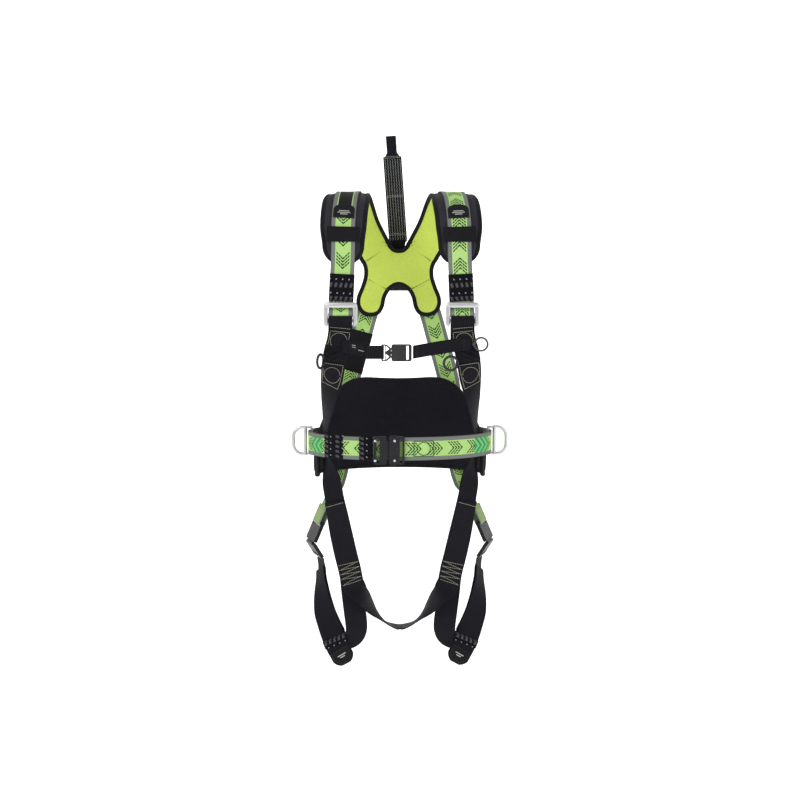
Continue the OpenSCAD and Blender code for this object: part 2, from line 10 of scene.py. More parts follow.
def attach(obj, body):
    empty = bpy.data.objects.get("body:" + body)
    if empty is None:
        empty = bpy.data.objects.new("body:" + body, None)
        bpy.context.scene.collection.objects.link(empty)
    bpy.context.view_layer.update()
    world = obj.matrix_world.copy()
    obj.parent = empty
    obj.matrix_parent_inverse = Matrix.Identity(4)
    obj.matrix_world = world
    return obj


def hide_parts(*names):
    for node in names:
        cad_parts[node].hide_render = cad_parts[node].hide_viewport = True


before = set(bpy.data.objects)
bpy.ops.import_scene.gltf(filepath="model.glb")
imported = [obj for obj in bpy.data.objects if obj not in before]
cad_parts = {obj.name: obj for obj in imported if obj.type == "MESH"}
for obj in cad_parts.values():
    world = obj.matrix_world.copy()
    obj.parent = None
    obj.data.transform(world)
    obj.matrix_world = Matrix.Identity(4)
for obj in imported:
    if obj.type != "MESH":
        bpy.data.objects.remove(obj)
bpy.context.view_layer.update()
scene = bpy.context.scene

# Shapes are drawn in garment millimetres: Z from the lowest strap end, the
# front at -Y. HANG is where the row's origin sits in them.
HANG = np.array([0.0, 136.0, 797.0])
WEB_W, WEB_T, GAP = 45.0, 2.2, 0.4
BIND = 8.5  # width of the binding tape round the pads
JOINED = 99  # a pad's end that is sewn on, so far from any bound edge
PAD_LIFT = -7.4  # the shoulder pads' middle, under the strap
BACK_Y = 112.5  # the back pad's middle
BELT_A, BELT_B, BELT_Z = 183, 112, 447  # the belt's oval and its height
WAIST_A, WAIST_B = 168, 101  # the waist pad's oval
CHEST_Y = -126.4  # the chest strap's middle
ADJUSTER_X = 114.5  # the strap adjusters' middle
HEM, RIM = 15.2, 21.4  # the lime webbing's grey edge starts and darkens this far from its middle


# ---- Materials ----

class Paint:
    """A node material and short ways to add nodes to it."""

    def __init__(self, name, rough, metal=0.0, sheen=0.0, spec=0.5):
        self.mat = bpy.data.materials.new(name)
        self.mat.use_nodes = True
        self.tree = self.mat.node_tree
        self.out = self.tree.nodes["Principled BSDF"]
        for key, value in (("Roughness", rough), ("Metallic", metal), ("Sheen Weight", sheen),
                           ("Specular IOR Level", spec)):
            self.set(key, value)

    def put(self, socket, value):
        if isinstance(value, bpy.types.NodeSocket):
            self.tree.links.new(value, socket)
        else:
            socket.default_value = value

    def set(self, name, value):
        self.put(self.out.inputs[name], value)

    def node(self, kind, **values):
        """A new node with some of its inputs set."""
        node = self.tree.nodes.new("ShaderNode" + kind)
        for key, value in values.items():
            self.put(node.inputs[key], value)
        return node

    def m(self, op, a, b=0.0, c=0.0):
        node = self.node("Math")
        node.operation = op
        for socket, value in zip(node.inputs, (a, b, c)):
            self.put(socket, value)
        return node.outputs[0]

    def mul(self, a, b):
        return self.m("MULTIPLY", a, b)

    def add(self, a, b):
        return self.m("ADD", a, b)

    def mad(self, a, b, c):
        return self.m("MULTIPLY_ADD", a, b, c)

    def above(self, a, b):
        return self.m("GREATER_THAN", a, b)

    def mix(self, amount, a, b):
        node = self.node("Mix")
        node.data_type = "RGBA"
        self.put(node.inputs[0], amount)
        self.put(node.inputs[6], a if isinstance(a, bpy.types.NodeSocket) else (*a, 1))
        self.put(node.inputs[7], b if isinstance(b, bpy.types.NodeSocket) else (*b, 1))
        return node.outputs[2]

    def uv(self):
        """Across and along the webbing, in millimetres."""
        node = self.node("UVMap")
        node.uv_map = "UVMap"
        split = self.node("SeparateXYZ", Vector=node.outputs[0])
        return split.outputs[0], split.outputs[1]

    def place(self):
        return self.node("TexCoord").outputs["Object"]

    def noise(self, scale, detail=3.0, vector=None):
        return self.node("TexNoise", Vector=vector or self.place(), Scale=scale, Detail=detail).outputs[0]

    def voronoi(self, scale):
        return self.node("TexVoronoi", Vector=self.place(), Scale=scale).outputs["Distance"]

    def bump(self, height, strength, distance):
        self.set("Normal", self.node("Bump", Strength=strength, Distance=distance, Height=height).outputs[0])

    def sine(self, x, period):
        """A wave from 0 to 1."""
        return self.mad(self.m("SINE", self.mul(x, 2 * math.pi / period)), 0.5, 0.5)

    def within(self, x, period, on):
        """1 in the first part of every period, else 0."""
        return self.m("LESS_THAN", self.m("FLOORED_MODULO", x, period), on)

    def twill(self, u, v):
        """Height of a webbing's weave: ribs along it, crossed by slanting picks."""
        ribs = self.sine(u, 1.7)
        picks = self.sine(self.add(v, self.mul(self.m("ABSOLUTE", u), 0.6)), 1.25)
        return self.mad(ribs, 0.6, self.mul(picks, 0.4))


def webbing(name, dark, light, pattern=None):
    """Woven polyester webbing. pattern(p, u, v, colour) may paint over the weave."""
    p = Paint(name, 0.66, spec=0.12)
    u, v = p.uv()
    weave = p.twill(u, v)
    cloud = p.noise(22, 4)
    colour = p.mix(p.mad(weave, 0.6, p.mul(cloud, 0.5)), dark, light)
    if pattern:
        colour = pattern(p, u, v, colour)
    p.set("Base Color", colour)
    p.set("Roughness", p.mad(cloud, 0.25, 0.54))
    p.bump(p.add(weave, p.mul(p.noise(900, 2), 0.35)), 0.55, 0.00035)
    return p.mat


LIME, LIME_LIT = (0.34, 0.60, 0.15), (0.56, 0.84, 0.30)


def chevrons(p, u, v, base):
    """Lime middle with clusters of dashed chevrons, and grey reflective edges."""
    au = p.m("ABSOLUTE", u)
    rise = p.mad(au, 0.95, v)
    dashes = p.mul(p.within(rise, 42, 24), p.within(rise, 6.0, 3.3))
    dashes = p.mul(dashes, p.within(au, 4.4, 3.7))
    dashes = p.mul(dashes, p.m("LESS_THAN", au, 12.2))
    middle = p.mix(dashes, base, (0.012, 0.055, 0.022))
    line = p.mul(p.above(au, 14.6), p.m("LESS_THAN", au, 15.4))
    middle = p.mix(line, middle, (0.16, 0.26, 0.12))
    glint = p.mix(p.sine(v, 1.1), (0.15, 0.16, 0.15), (0.26, 0.275, 0.26))
    hem = p.mix(p.above(au, RIM), glint, (0.12, 0.14, 0.12))
    return p.mix(p.above(au, HEM), middle, hem)


def tacked(p, u, v, base):
    """Broad chevrons of close green stitching."""
    rise = p.mad(p.m("ABSOLUTE", u), 0.95, v)
    return p.mix(p.within(rise, 13, 6), base, (0.05, 0.32, 0.11))


def plain_lime(p, u, v, base):
    """Lime middle with grey edges and no chevrons."""
    au = p.m("ABSOLUTE", u)
    hem = p.mix(p.sine(v, 1.1), (0.20, 0.21, 0.20), (0.33, 0.345, 0.33))
    return p.mix(p.above(au, HEM), base, hem)


def cloth(name, dark, light, cell, strength=0.6):
    """A knitted cover of small cells."""
    p = Paint(name, 0.8, sheen=0.05, spec=0.15)
    cells = p.voronoi(cell)
    cloud = p.noise(14, 4)
    shade = p.mad(cells, 0.7, p.mul(cloud, 0.45))
    p.set("Base Color", p.mix(shade, dark, light))
    p.bump(p.add(cells, p.mul(p.noise(700, 2), 0.3)), strength, 0.0006)
    return p.mat


def bound(name, dark, light, cell):
    """Padding whose UV holds the distance from its edge: binding tape outside, cover inside."""
    p = Paint(name, 0.8, sheen=0.03, spec=0.15)
    edge, v = p.uv()
    inside = p.above(edge, BIND)
    cells, cloud = p.voronoi(cell), p.noise(14, 4)
    cover = p.mix(p.mad(cells, 0.7, p.mul(cloud, 0.45)), dark, light)
    ribs = p.sine(v, 1.5)
    tape = p.mix(p.mad(ribs, 0.5, p.mul(cloud, 0.4)), (0.004, 0.004, 0.006), (0.019, 0.019, 0.023))
    p.set("Base Color", p.mix(inside, tape, cover))
    relief = p.add(p.mul(inside, cells), p.mul(p.m("SUBTRACT", 1.0, inside), ribs))
    p.bump(p.mad(p.noise(700, 2), 0.35, relief), 0.55, 0.0005)
    return p.mat


def printed(name):
    """Elastic sleeve printed with a plain pattern of slanting blocks and dots."""
    p = Paint(name, 0.85, sheen=0.02, spec=0.1)
    u, v = p.uv()
    slant = p.mad(v, 0.35, u)
    blocks = p.mul(p.within(slant, 9.5, 5.2), p.within(v, 26, 9))
    notch = p.mul(p.within(p.mad(v, -0.5, u), 9.5, 1.6), p.within(v, 26, 9))
    blocks = p.m("SUBTRACT", blocks, p.mul(blocks, notch))
    dots = p.mul(p.within(slant, 12, 2.2), p.within(p.m("SUBTRACT", v, 14), 26, 2.6))
    knit = p.sine(v, 1.3)
    base = p.mix(p.mad(knit, 0.5, p.mul(p.noise(40), 0.4)), (0.002, 0.002, 0.004), (0.010, 0.010, 0.015))
    p.set("Base Color", p.mix(dots, p.mix(blocks, base, (0.085, 0.08, 0.09)), (0.36, 0.36, 0.38)))
    p.bump(p.add(knit, p.mul(p.sine(u, 1.2), 0.5)), 0.5, 0.0004)
    return p.mat


def thread(name, dark, light):
    """Twisted sewing thread."""
    p = Paint(name, 0.6, sheen=0.2)
    p.set("Base Color", p.mix(p.noise(500, 2), dark, light))
    p.bump(p.noise(2500, 2), 0.5, 0.0002)
    return p.mat


def metal(name, dark, light, rough, metallic=1.0, worn=0.35, spec=0.5):
    """Metal, brushed along Z; worn says how unevenly it shines."""
    p = Paint(name, rough, metallic, spec=spec)
    brushed = p.noise(1.0, 3, p.node("Mapping", Vector=p.place(), Scale=(60, 60, 1200)).outputs[0])
    cloud = p.noise(35, 4)
    p.set("Base Color", p.mix(p.mad(brushed, 0.6, p.mul(cloud, 0.4)), dark, light))
    p.set("Roughness", p.mad(cloud, worn * 0.5, p.mad(brushed, worn * 0.3, rough - worn * 0.3)))
    p.bump(p.add(brushed, p.noise(400, 3)), 0.12, 0.0002)
    return p.mat


def plastic(name, dark, light):
    """Moulded plastic with a fine grain."""
    p = Paint(name, 0.45)
    grain = p.noise(900, 3)
    p.set("Base Color", p.mix(p.noise(60, 3), dark, light))
    p.set("Roughness", p.mad(p.noise(80, 3), 0.25, 0.35))
    p.bump(grain, 0.3, 0.00025)
    return p.mat


INK, COAL = (0.006, 0.006, 0.009), (0.030, 0.030, 0.038)
MATS = {
    "lime": webbing("lime_webbing", LIME, LIME_LIT, chevrons),
    # The plain lime's colours are darker than the lime's: painted shade for the leg loops, which hang in
    # shadow.
    "lime_plain": webbing("lime_webbing_plain", (0.22, 0.36, 0.10), (0.38, 0.54, 0.20), plain_lime),
    "web": webbing("black_webbing", (0.002, 0.002, 0.003), (0.014, 0.013, 0.020)),
    "elastic": webbing("black_elastic", (0.003, 0.003, 0.004), (0.015, 0.015, 0.019)),
    "pad": bound("black_padding", (0.012, 0.011, 0.015), (0.046, 0.043, 0.054), 900),
    "waist": bound("waist_padding", (0.004, 0.004, 0.006), (0.015, 0.014, 0.021), 700),
    "mesh": bound("lime_padding", (0.50, 0.63, 0.08), (0.74, 0.88, 0.17), 620),
    "backing": cloth("pad_backing", INK, COAL, 500),
    "print": printed("printed_sleeve"),
    "label": cloth("label_cloth", (0.004, 0.004, 0.005), (0.016, 0.016, 0.018), 1200, strength=0.3),
    "mark": cloth("pale_print", (0.42, 0.42, 0.40), (0.62, 0.62, 0.58), 1500, strength=0.2),
    "khaki": thread("khaki_thread", (0.36, 0.34, 0.24), (0.56, 0.54, 0.40)),
    "green": thread("green_thread", (0.03, 0.10, 0.02), (0.07, 0.20, 0.05)),
    "olive_thread": thread("olive_thread", (0.05, 0.065, 0.012), (0.10, 0.13, 0.025)),
    "black_thread": thread("black_thread", (0.003, 0.003, 0.004), (0.02, 0.02, 0.022)),
    "pale_thread": thread("pale_thread", (0.42, 0.44, 0.40), (0.66, 0.68, 0.62)),
    "bar_tack": webbing("bar_tack", (0.13, 0.46, 0.15), (0.26, 0.70, 0.26), tacked),
    "steel": metal("zinc_steel", (0.60, 0.61, 0.61), (0.84, 0.85, 0.85), 0.36),
    "black_metal": metal("black_coated_steel", (0.006, 0.006, 0.008), (0.022, 0.022, 0.026), 0.4, 0.0,
                         worn=0.3, spec=0.3),
    "tab_metal": metal("tab_steel", (0.008, 0.008, 0.010), (0.030, 0.030, 0.034), 0.4, 0.1,
                       worn=0.3, spec=0.25),
    "rivet": metal("rivet_steel", (0.62, 0.62, 0.63), (0.80, 0.80, 0.80), 0.22),
    "plastic": plastic("black_plastic", (0.008, 0.008, 0.010), (0.028, 0.028, 0.032)),
    "grey_plastic": plastic("grey_plastic", (0.035, 0.035, 0.038), (0.075, 0.075, 0.08)),
}
# The record's material slot of each finish.
SLOTS = {
    "lime": "lime_webbing", "lime_plain": "lime_webbing", "bar_tack": "lime_webbing",
    "web": "black_webbing", "elastic": "black_webbing", "pad": "padding_fabric", "waist": "padding_fabric",
    "mesh": "mesh_padding", "print": "printed_fabric", "label": "label_fabric", "mark": "label_fabric",
    "steel": "silver_steel", "black_metal": "buckle_steel", "tab_metal": "tab_steel",
    "rivet": "rivet_steel", "plastic": "black_plastic", "grey_plastic": "grey_plastic",
    **dict.fromkeys(("khaki", "green", "olive_thread", "black_thread", "pale_thread"), "khaki_thread"),
}


# ---- Drawing helpers ----

def unit(v):
    return v / np.maximum(np.linalg.norm(v, axis=-1, keepdims=True), 1e-9)


def bend(a, b, c, d, t):
    """A smooth curve between b and c, where a and d are their neighbours."""
    return 0.5 * (2 * b + (c - a) * t + (2 * a - 5 * b + 4 * c - d) * t * t
                  + (3 * b - a - 3 * c + d) * t ** 3)


class Route:
    """Webbing's centre line with its directions across and out of the face."""

    def __init__(self, rows, steps=4, pitch=4.0, width=WEB_W):
        r = np.array([(*row, width)[:7] for row in rows], float)
        if steps > 1:
            r = self.curve(r, steps)
        p = r[:, :3]
        ahead = np.vstack([p[1:], p[-1:]]) - np.vstack([p[:1], p[:-1]])
        h = unit(ahead)
        a = r[:, 3:6]
        s = unit(a - (a * h).sum(1, keepdims=True) * h)
        upright = a[:, 2] == 1
        s[upright] = a[upright]
        along = np.r_[0, np.cumsum(np.linalg.norm(np.diff(p, axis=0), axis=1))]
        self.knots = along
        self.v, self.p, self.s, self.w, self.f = along, p, s, r[:, 6], unit(np.cross(h, s))
        self.__dict__.update(self.cut(0, along[-1], pitch).__dict__)

    def cut(self, start, end, pitch=3.0, width=None):
        """The stretch between two distances along the route."""
        new = object.__new__(Route)
        new.knots, new.length = self.knots, end - start
        v = np.linspace(start, end, max(2, int(round(new.length / pitch)) + 1))
        pick = lambda q: np.stack([np.interp(v, self.v, q[:, k]) for k in range(3)], 1)
        new.p, new.s, new.f = pick(self.p), unit(pick(self.s)), unit(pick(self.f))
        new.w = np.interp(v, self.v, self.w) if width is None else np.full(len(v), float(width))
        new.v = v
        return new

    @staticmethod
    def curve(r, n):
        """A smooth curve through rows, with n steps between two of them."""
        out = []
        for i in range(len(r) - 1):
            a, b, c, d = r[max(i - 1, 0)], r[i], r[i + 1], r[min(i + 2, len(r) - 1)]
            out += [bend(a, b, c, d, j / n) for j in range(n)]
        return np.array(out + [r[-1]])

    def at(self, u, v, h):
        """Points in garment millimetres from across, along and out of the face."""
        u, v, h = np.broadcast_arrays(np.asarray(u, float), np.asarray(v, float), np.asarray(h, float))
        get = lambda q: np.stack([np.interp(v, self.v, q[:, k]) for k in range(3)], -1)
        return get(self.p) + get(self.s) * u[..., None] + get(self.f) * h[..., None]

    def mirrored(self):
        """The same route on the other side."""
        twin = object.__new__(Route)
        twin.__dict__.update(self.__dict__)
        flip = np.array([-1.0, 1, 1])
        twin.p, twin.s, twin.f = self.p * flip, self.s * flip, self.f * flip
        return twin


def build(name, points, faces, uv, materials, body, which=None, slot=None):
    """A mesh from garment millimetres that rides on a body.

    It works out its finish's slot, or takes the one given, but does nothing with it. which holds one
    material number for each face.
    """
    mesh = bpy.data.meshes.new(name)
    mesh.from_pydata(((np.asarray(points, float) - HANG) / 1000).tolist(), [], faces)
    if uv is not None:
        layer = mesh.uv_layers.new(name="UVMap")
        index = np.zeros(len(mesh.loops), np.int32)
        mesh.loops.foreach_get("vertex_index", index)
        layer.data.foreach_set("uv", np.asarray(uv, np.float32).reshape(-1, 2)[index].ravel())
    for key in materials:
        mesh.materials.append(MATS[key])
    if which is not None:
        mesh.polygons.foreach_set("material_index", np.asarray(which, np.int32))
    mesh.polygons.foreach_set("use_smooth", np.full(len(mesh.polygons), True))
    mesh.validate()
    tidy = bmesh.new()
    tidy.from_mesh(mesh)
    bmesh.ops.recalc_face_normals(tidy, faces=tidy.faces)
    tidy.to_mesh(mesh)
    tidy.free()
    mesh.update()
    obj = bpy.data.objects.new(name, mesh)
    scene.collection.objects.link(obj)
    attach(obj, body)
    slot = SLOTS[materials[0]] if slot is None else slot
    return obj


def selvedge(t):
    """Heights of webbing over and under its middle, thinner at both edges."""
    def heights(u, v, w):
        d = np.clip((w / 2 - np.abs(u)) / 1.1, 0, 1)
        half = t / 2 * (0.35 + 0.65 * np.sqrt(1 - (1 - d) ** 2))
        return half, half
    return heights


def shell(top, low):
    """Points and faces of a closed skin between two grids of points."""
    n, m = top.shape[:2]
    k = 2 * m
    faces = [(i * k + j, i * k + (j + 1) % k, (i + 1) * k + (j + 1) % k, (i + 1) * k + j)
             for i in range(n - 1) for j in range(k)]
    for i in (0, n - 1):
        faces += [(i * k + j, i * k + j + 1, i * k + k - 2 - j, i * k + k - 1 - j) for j in range(m - 1)]
    return np.concatenate([top, low[:, ::-1]], 1).reshape(-1, 3), faces


def strip(name, route, t, mat="web", body="harness", across=18, lift=0.0, width=None, shape=None,
          wave=0, seed=0.0, run=1, offset=0.0, slot=None):
    """Closed webbing along a route. shape(u, v, w) gives the heights over and under the middle."""
    w = route.w if width is None else np.full_like(route.w, width)
    cut = np.sort(np.r_[np.linspace(-1, 1, across - 3), -0.985, 0.985, -0.95, 0.95])
    u = cut[None, :] * w[:, None] / 2
    v = np.repeat(route.v[:, None], len(cut), 1)
    up, down = (shape or selvedge(t))(u, v, w[:, None])
    ripple = wave * (np.sin(v / 23 + seed) * np.cos(u / 15 + seed)
                     + 0.6 * np.sin(v / 9.1 + u / 11 + 2 * seed))
    top = route.at(u, v, lift + up + ripple)
    low = route.at(u, v, lift - down + ripple)
    along = run * v + offset
    uv = np.concatenate([np.stack([u, along], -1), np.stack([u[:, ::-1], along], -1)], 1)
    return build(name, *shell(top, low), uv, (mat,), body, slot=slot)


def sleeve(name, route, t, wall, mat="print", body="harness", width=None, wave=0):
    """A soft tube round webbing, with an open inside."""
    w = (route.w if width is None else np.full_like(route.w, width))[:, None] / 2
    x = np.linspace(-1, 1, 14)
    s = np.repeat((1, -1), len(x))
    x = np.r_[x, x[::-1]]
    k, n = len(x), len(route.v)
    v = np.repeat(route.v[:, None], k, 1)
    edge = np.clip((np.abs(x) - 0.9) / 0.1, 0, 1)
    out, uv = [], []
    for extra in (wall, 0.0):
        half = t / 2 + extra
        u = x * (w + extra - min(1.6, half) * 0.4)
        out.append(route.at(u, v, s * half * (1 - 0.55 * edge ** 2) + wave * np.sin(v / 5.5 + x * 2)))
        uv.append(np.stack([u, v], -1))
    faces = []
    for i in range(n - 1):
        for j in range(k):
            a, b = i * 2 * k + j, i * 2 * k + (j + 1) % k
            faces += [(a, b, b + 2 * k, a + 2 * k), (b + k, a + k, a + 3 * k, b + 3 * k)]
    for i in (0, n - 1):
        for j in range(k):
            a, b = i * 2 * k + j, i * 2 * k + (j + 1) % k
            faces.append((a, b, b + k, a + k))
    return build(name, np.concatenate(out, 1).reshape(-1, 3), faces, np.concatenate(uv, 1), (mat,), body)


def beads(name, lines, mat, body, r, length, space, slot=None):
    """Stitches: short thread humps along lines of 3-D points (garment millimetres) with normals."""
    points, faces = [], []
    ring = [(math.cos(a), math.sin(a)) for a in np.linspace(0, 2 * math.pi, 6)[:-1]]
    for line, normal in lines:
        line, normal = np.asarray(line, float), np.asarray(normal, float)
        along = np.r_[0, np.cumsum(np.linalg.norm(np.diff(line, axis=0), axis=1))]
        if along[-1] < length:
            continue
        count = int((along[-1] + space) // (length + space))
        for c in range(count):
            a = c * (length + space)
            base = len(points)
            for k, (t, s, lift) in enumerate(((0, 0.5, -0.25), (0.25, 0.95, 0.15), (0.5, 1.0, 0.25),
                                              (0.75, 0.95, 0.15), (1, 0.5, -0.25))):
                x = a + t * length
                get = lambda q: np.array([np.interp(x, along, q[:, i]) for i in range(3)])
                centre, n = get(line), unit(get(normal))
                j = min(max(int(np.searchsorted(along, x)), 1), len(line) - 1)
                h = unit(line[j] - line[j - 1])
                b = unit(np.cross(h, n))
                for cx, cy in ring:
                    points.append(centre + b * cx * r * s + n * (cy * r * s + lift * r))
            for a in range(base, base + 20, 5):
                faces += [(a + i, a + (i + 1) % 5, a + 5 + (i + 1) % 5, a + 5 + i) for i in range(5)]
            faces += [tuple(range(base, base + 5)), tuple(range(base + 20, base + 25))]
    return build(name, points, faces, None, (mat,), body, slot=slot)


def on(route, uv, h, step=1.5):
    """A line drawn on a route's face, as beads() takes it."""
    uv = np.asarray(uv, float)
    seg = np.r_[0, np.cumsum(np.linalg.norm(np.diff(uv, axis=0), axis=1))]
    n = max(2, int(seg[-1] / step) + 1)
    t = np.linspace(0, seg[-1], n)
    u, v = np.interp(t, seg, uv[:, 0]), np.interp(t, seg, uv[:, 1])
    point = route.at(u, v, h)
    return point, (route.at(u, v, h + 1) - point) * (1 if h >= 0 else -1)


def ring_line(route, v0, r, h):
    """A circle in the middle of a route's face."""
    a = np.radians(np.linspace(0, 360, 60))
    return on(route, np.stack([r * np.cos(a), v0 + r * np.sin(a)], 1), h)


def tube(name, line, r, body, mat="plastic", sides=12, closed=False, squash=1.0, normal=(0, 0, 1), slot=None):
    """A round tube along 3-D points."""
    line = np.asarray(line, float)
    n = len(line)
    if closed:
        h = unit(np.roll(line, -1, 0) - np.roll(line, 1, 0))
    else:
        h = unit(np.vstack([line[1:], line[-1:]]) - np.vstack([line[:1], line[:-1]]))
    a = unit(np.cross(h, np.array(normal, float)))
    b = unit(np.cross(a, h))
    angles = np.linspace(0, 2 * math.pi, sides, endpoint=False)
    r = np.broadcast_to(r, n)[:, None, None]
    points = (line[:, None] + a[:, None] * (np.cos(angles)[:, None] * r)
              + b[:, None] * (np.sin(angles)[:, None] * r * squash)).reshape(-1, 3)
    along = np.r_[0, np.cumsum(np.linalg.norm(np.diff(line, axis=0), axis=1))]
    uv = np.stack(np.broadcast_arrays(angles * 4, along[:, None]), -1)
    faces = []
    for i in range(n if closed else n - 1):
        a, b = i * sides, (i + 1) % n * sides
        faces += [(a + j, a + (j + 1) % sides, b + (j + 1) % sides, b + j) for j in range(sides)]
    if not closed:
        faces += [tuple(range(sides)), tuple(range((n - 1) * sides, n * sides))]
    return build(name, points, faces, uv, (mat,), body, slot=slot)


def dress(node, mat, bevel):
    """Shows a hard CAD node with a finish and its edges rounded by some millimetres."""
    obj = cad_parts[node]
    obj.data.materials.clear()
    obj.data.materials.append(MATS[mat])
    if bevel:
        b = obj.modifiers.new("edges", "BEVEL")
        b.width = bevel / 1000
        b.segments = 3
        b.limit_method = "ANGLE"
        b.angle_limit = math.radians(35)
        b.harden_normals = False
    obj.data.polygons.foreach_set("use_smooth", np.full(len(obj.data.polygons), True))
    obj.modifiers.new("normals", "WEIGHTED_NORMAL").keep_sharp = True


for mat, bevel, nodes in (
        ("steel", 0.9, ("left_adjuster_frame", "right_adjuster_frame")),
        ("steel", 0.3, ("left_adjuster_bar", "right_adjuster_bar")),
        ("steel", 0.0, ("left_side_ring", "right_side_ring", "dorsal_ring")),
        ("black_metal", 0.9, ("waist_socket", "waist_tongue", "left_leg_socket", "right_leg_socket",
                              "left_leg_tongue", "right_leg_tongue")),
        ("tab_metal", 0.6, ("waist_upper_tab", "waist_lower_tab", "left_leg_front_tab", "left_leg_rear_tab",
                            "right_leg_front_tab", "right_leg_rear_tab")),
        ("rivet", 0.0, ("waist_socket_rivets", "waist_tongue_rivets")),
        ("plastic", 0.8, ("chest_plug", "chest_socket")),
        ("plastic", 0.9, ("dorsal_plate",)),
        ("grey_plastic", 0.9, ("chest_ring",))):
    for node in nodes:
        dress(node, mat, bevel)


# ---- Routes: x, y, z, then the direction across the webbing ----

MAIN = [(*point, -1, 0, 0) for point in (
    (-114, -117.5, 722), (-114, -117.5, 717), (-114, -118.6, 712), (-114, -121.8, 705.5),
    (-114, -123.2, 701.2), (-114, -126, 699.9), (-114, -128.8, 701.2), (-114, -129.8, 704.6),
    (-114, -127.6, 710.2), (-114, -122.8, 714.4), (-114, -121, 720), (-113.5, -121, 729),
    (-111.5, -121, 769), (-110, -121, 799), (-109, -120.5, 832), (-109, -116, 866), (-107, -101, 900),
    (-104, -70, 926), (-101, -24, 939))]
MAIN += [
    (-97, 26, 937, -0.98, -0.05, -0.15), (-89, 72, 914, -0.93, -0.1, -0.35),
    (-76, 104, 877, -0.85, -0.1, -0.5), (-56, 119, 840, -0.78, 0, -0.62),
    (-40, 124, 812, -0.85, 0, -0.5), (-34, 125, 780, -1, 0, 0), (-45, 124, 748, -0.93, 0, 0.36),
    (-57, 122, 722, -0.9, 0, 0.42), (-67, 119.5, 697, -0.92, 0, 0.38), (-80, 115, 650, -0.93, -0.1, 0.3),
    (-94, 107, 600, -0.95, -0.2, 0.2), (-103, 96, 562, -0.93, -0.3, 0.1),
    (-108, 87.5, 530, -0.9, -0.43, 0), (-112, 83.3, 482, -0.89, -0.45, 0),
    (-117, 80.4, 447, -0.89, -0.455, 0), (-121, 79, 412, -0.88, -0.47, 0),
    (-125, 77.2, 382, -0.86, -0.5, 0), (-130, 64, 365, -0.7, -0.7, 0), (-134, 46, 357.5, -0.4, -0.9, 0),
    (-137.5, 27, 352, 0, -1, 0), (-139.4, 12.5, 344.5, 0.25, -0.96, 0),
    (-142.2, 6.5, 334.5, 0.342, -0.94, 0), (-148, 4.2, 320.3, 0.342, -0.94, 0),
    (-154.2, 1.9, 305.7, 0.342, -0.94, 0),
]
PAD_WIDTHS = [79, 79, 87, 89, 89, 80, 77, 76, 75, 73.5]
FRONT = [(*point, 1, 0, 0) for point in (
    (-115, -119.4, 655), (-115, -119.4, 671), (-115, -120.4, 684), (-115, -121.6, 692),
    (-115, -123, 695.4), (-115, -126.5, 696.9), (-115, -130, 695.4), (-115, -131.4, 692),
    (-115, -130, 684), (-115, -126, 676), (-116, -123.8, 667), (-118, -122.4, 655), (-123, -120, 636),
    (-128, -116, 612))]
FRONT += [
    (-132, -107, 584, 0.93, -0.36, 0), (-139, -90, 550, 0.66, -0.75, 0), (-144, -69, 518, 0.42, -0.9, 0),
    (-147.5, -50, 488, 0.24, -0.97, 0), (-149, -38, 465, 0.17, -0.985, 0),
    (-147.5, -35, 425, 0.22, -0.975, 0), (-143, -44, 402, 0.5, -0.86, 0.08),
    (-136, -58, 375, 0.8, -0.58, 0.15), (-130, -69, 345, 0.82, -0.5, 0.25),
    (-124, -69, 315, 0.85, -0.42, 0.25), (-117, -66, 275, 0.92, -0.2, 0.25),
    (-108, -61, 230, 0.95, 0, 0.25), (-99, -57, 190, 0.95, 0.05, 0.25),
    (-95, -53.5, 150, 0.97, 0.15, 0.2), (-91, -50, 112, 0.96, 0.25, 0.12), (-88, -47, 84, 0.95, 0.3, 0),
    (-89, -44.5, 67, 0.88, 0.38, -0.25), (-96.5, -42.5, 55, 0.57, 0.38, -0.72),
    (-111, -41, 50, 0, 0.35, -0.94), (-125, -40, 55.5, -0.57, 0.3, -0.77),
    (-134, -39, 69, -0.88, 0.15, -0.45), (-143, -38, 87, -0.93, 0.15, -0.33),
    (-151, -33.5, 110, -0.88, 0.35, -0.3), (-155.5, -25, 141, -0.68, 0.7, -0.2),
    (-157.5, -13, 172, -0.4, 0.9, -0.1), (-158.5, -3.5, 192, -0.342, 0.94, 0),
    (-161.2, -0.7, 210, -0.342, 0.94, 0),
]
TAIL = [
    (-161.9, -5, 189, 0.342, -0.94, 0), (-161.1, -14.9, 170, 0.42, -0.9, 0.1),
    (-158.6, -27.9, 141, 0.68, -0.7, 0.2), (-152.9, -38, 110, 0.88, -0.35, 0.3),
    (-144.5, -43.5, 87, 0.93, -0.1, 0.34), (-137, -49, 66, 0.9, 0, 0.42),
    (-129, -53.5, 47, 0.88, 0, 0.46), (-121, -57, 33, 0.87, 0, 0.49),
    (-114.5, -60, 22, 0.87, 0, 0.49, 43), (-110, -61.5, 14, 0.87, 0, 0.49, 36),
    (-107.5, -62.5, 9.5, 0.87, 0, 0.49, 22),
]
HALF_SEAT = [
    (-98.8, -60.1, 189.8, 0.98, 0.06, 0.17), (-93.5, -62.6, 169, 0.97, 0.12, 0.22),
    (-76.5, -65.5, 150, 0.42, 0.79, 0.44), (-62, -47, 127, 0.1, 0.79, 0.6), (-49, -27, 107, -0.24, 0.8, 0.54),
    (-35, -8, 83.5, -0.5, 0.8, 0.32), (-20, 8, 67, -0.45, 0.86, 0.08),
    (-9.5, 14.5, 61.6, -0.22, 0.96, -0.02), (0.3, 16, 60.3, 0, 0.99, -0.1),
]
LEFT_CHEST = [(x, CHEST_Y, z, 0, 0, 1) for x, z in ((-112, 645), (-92, 642.5), (-74, 638.5), (-65, 636))]
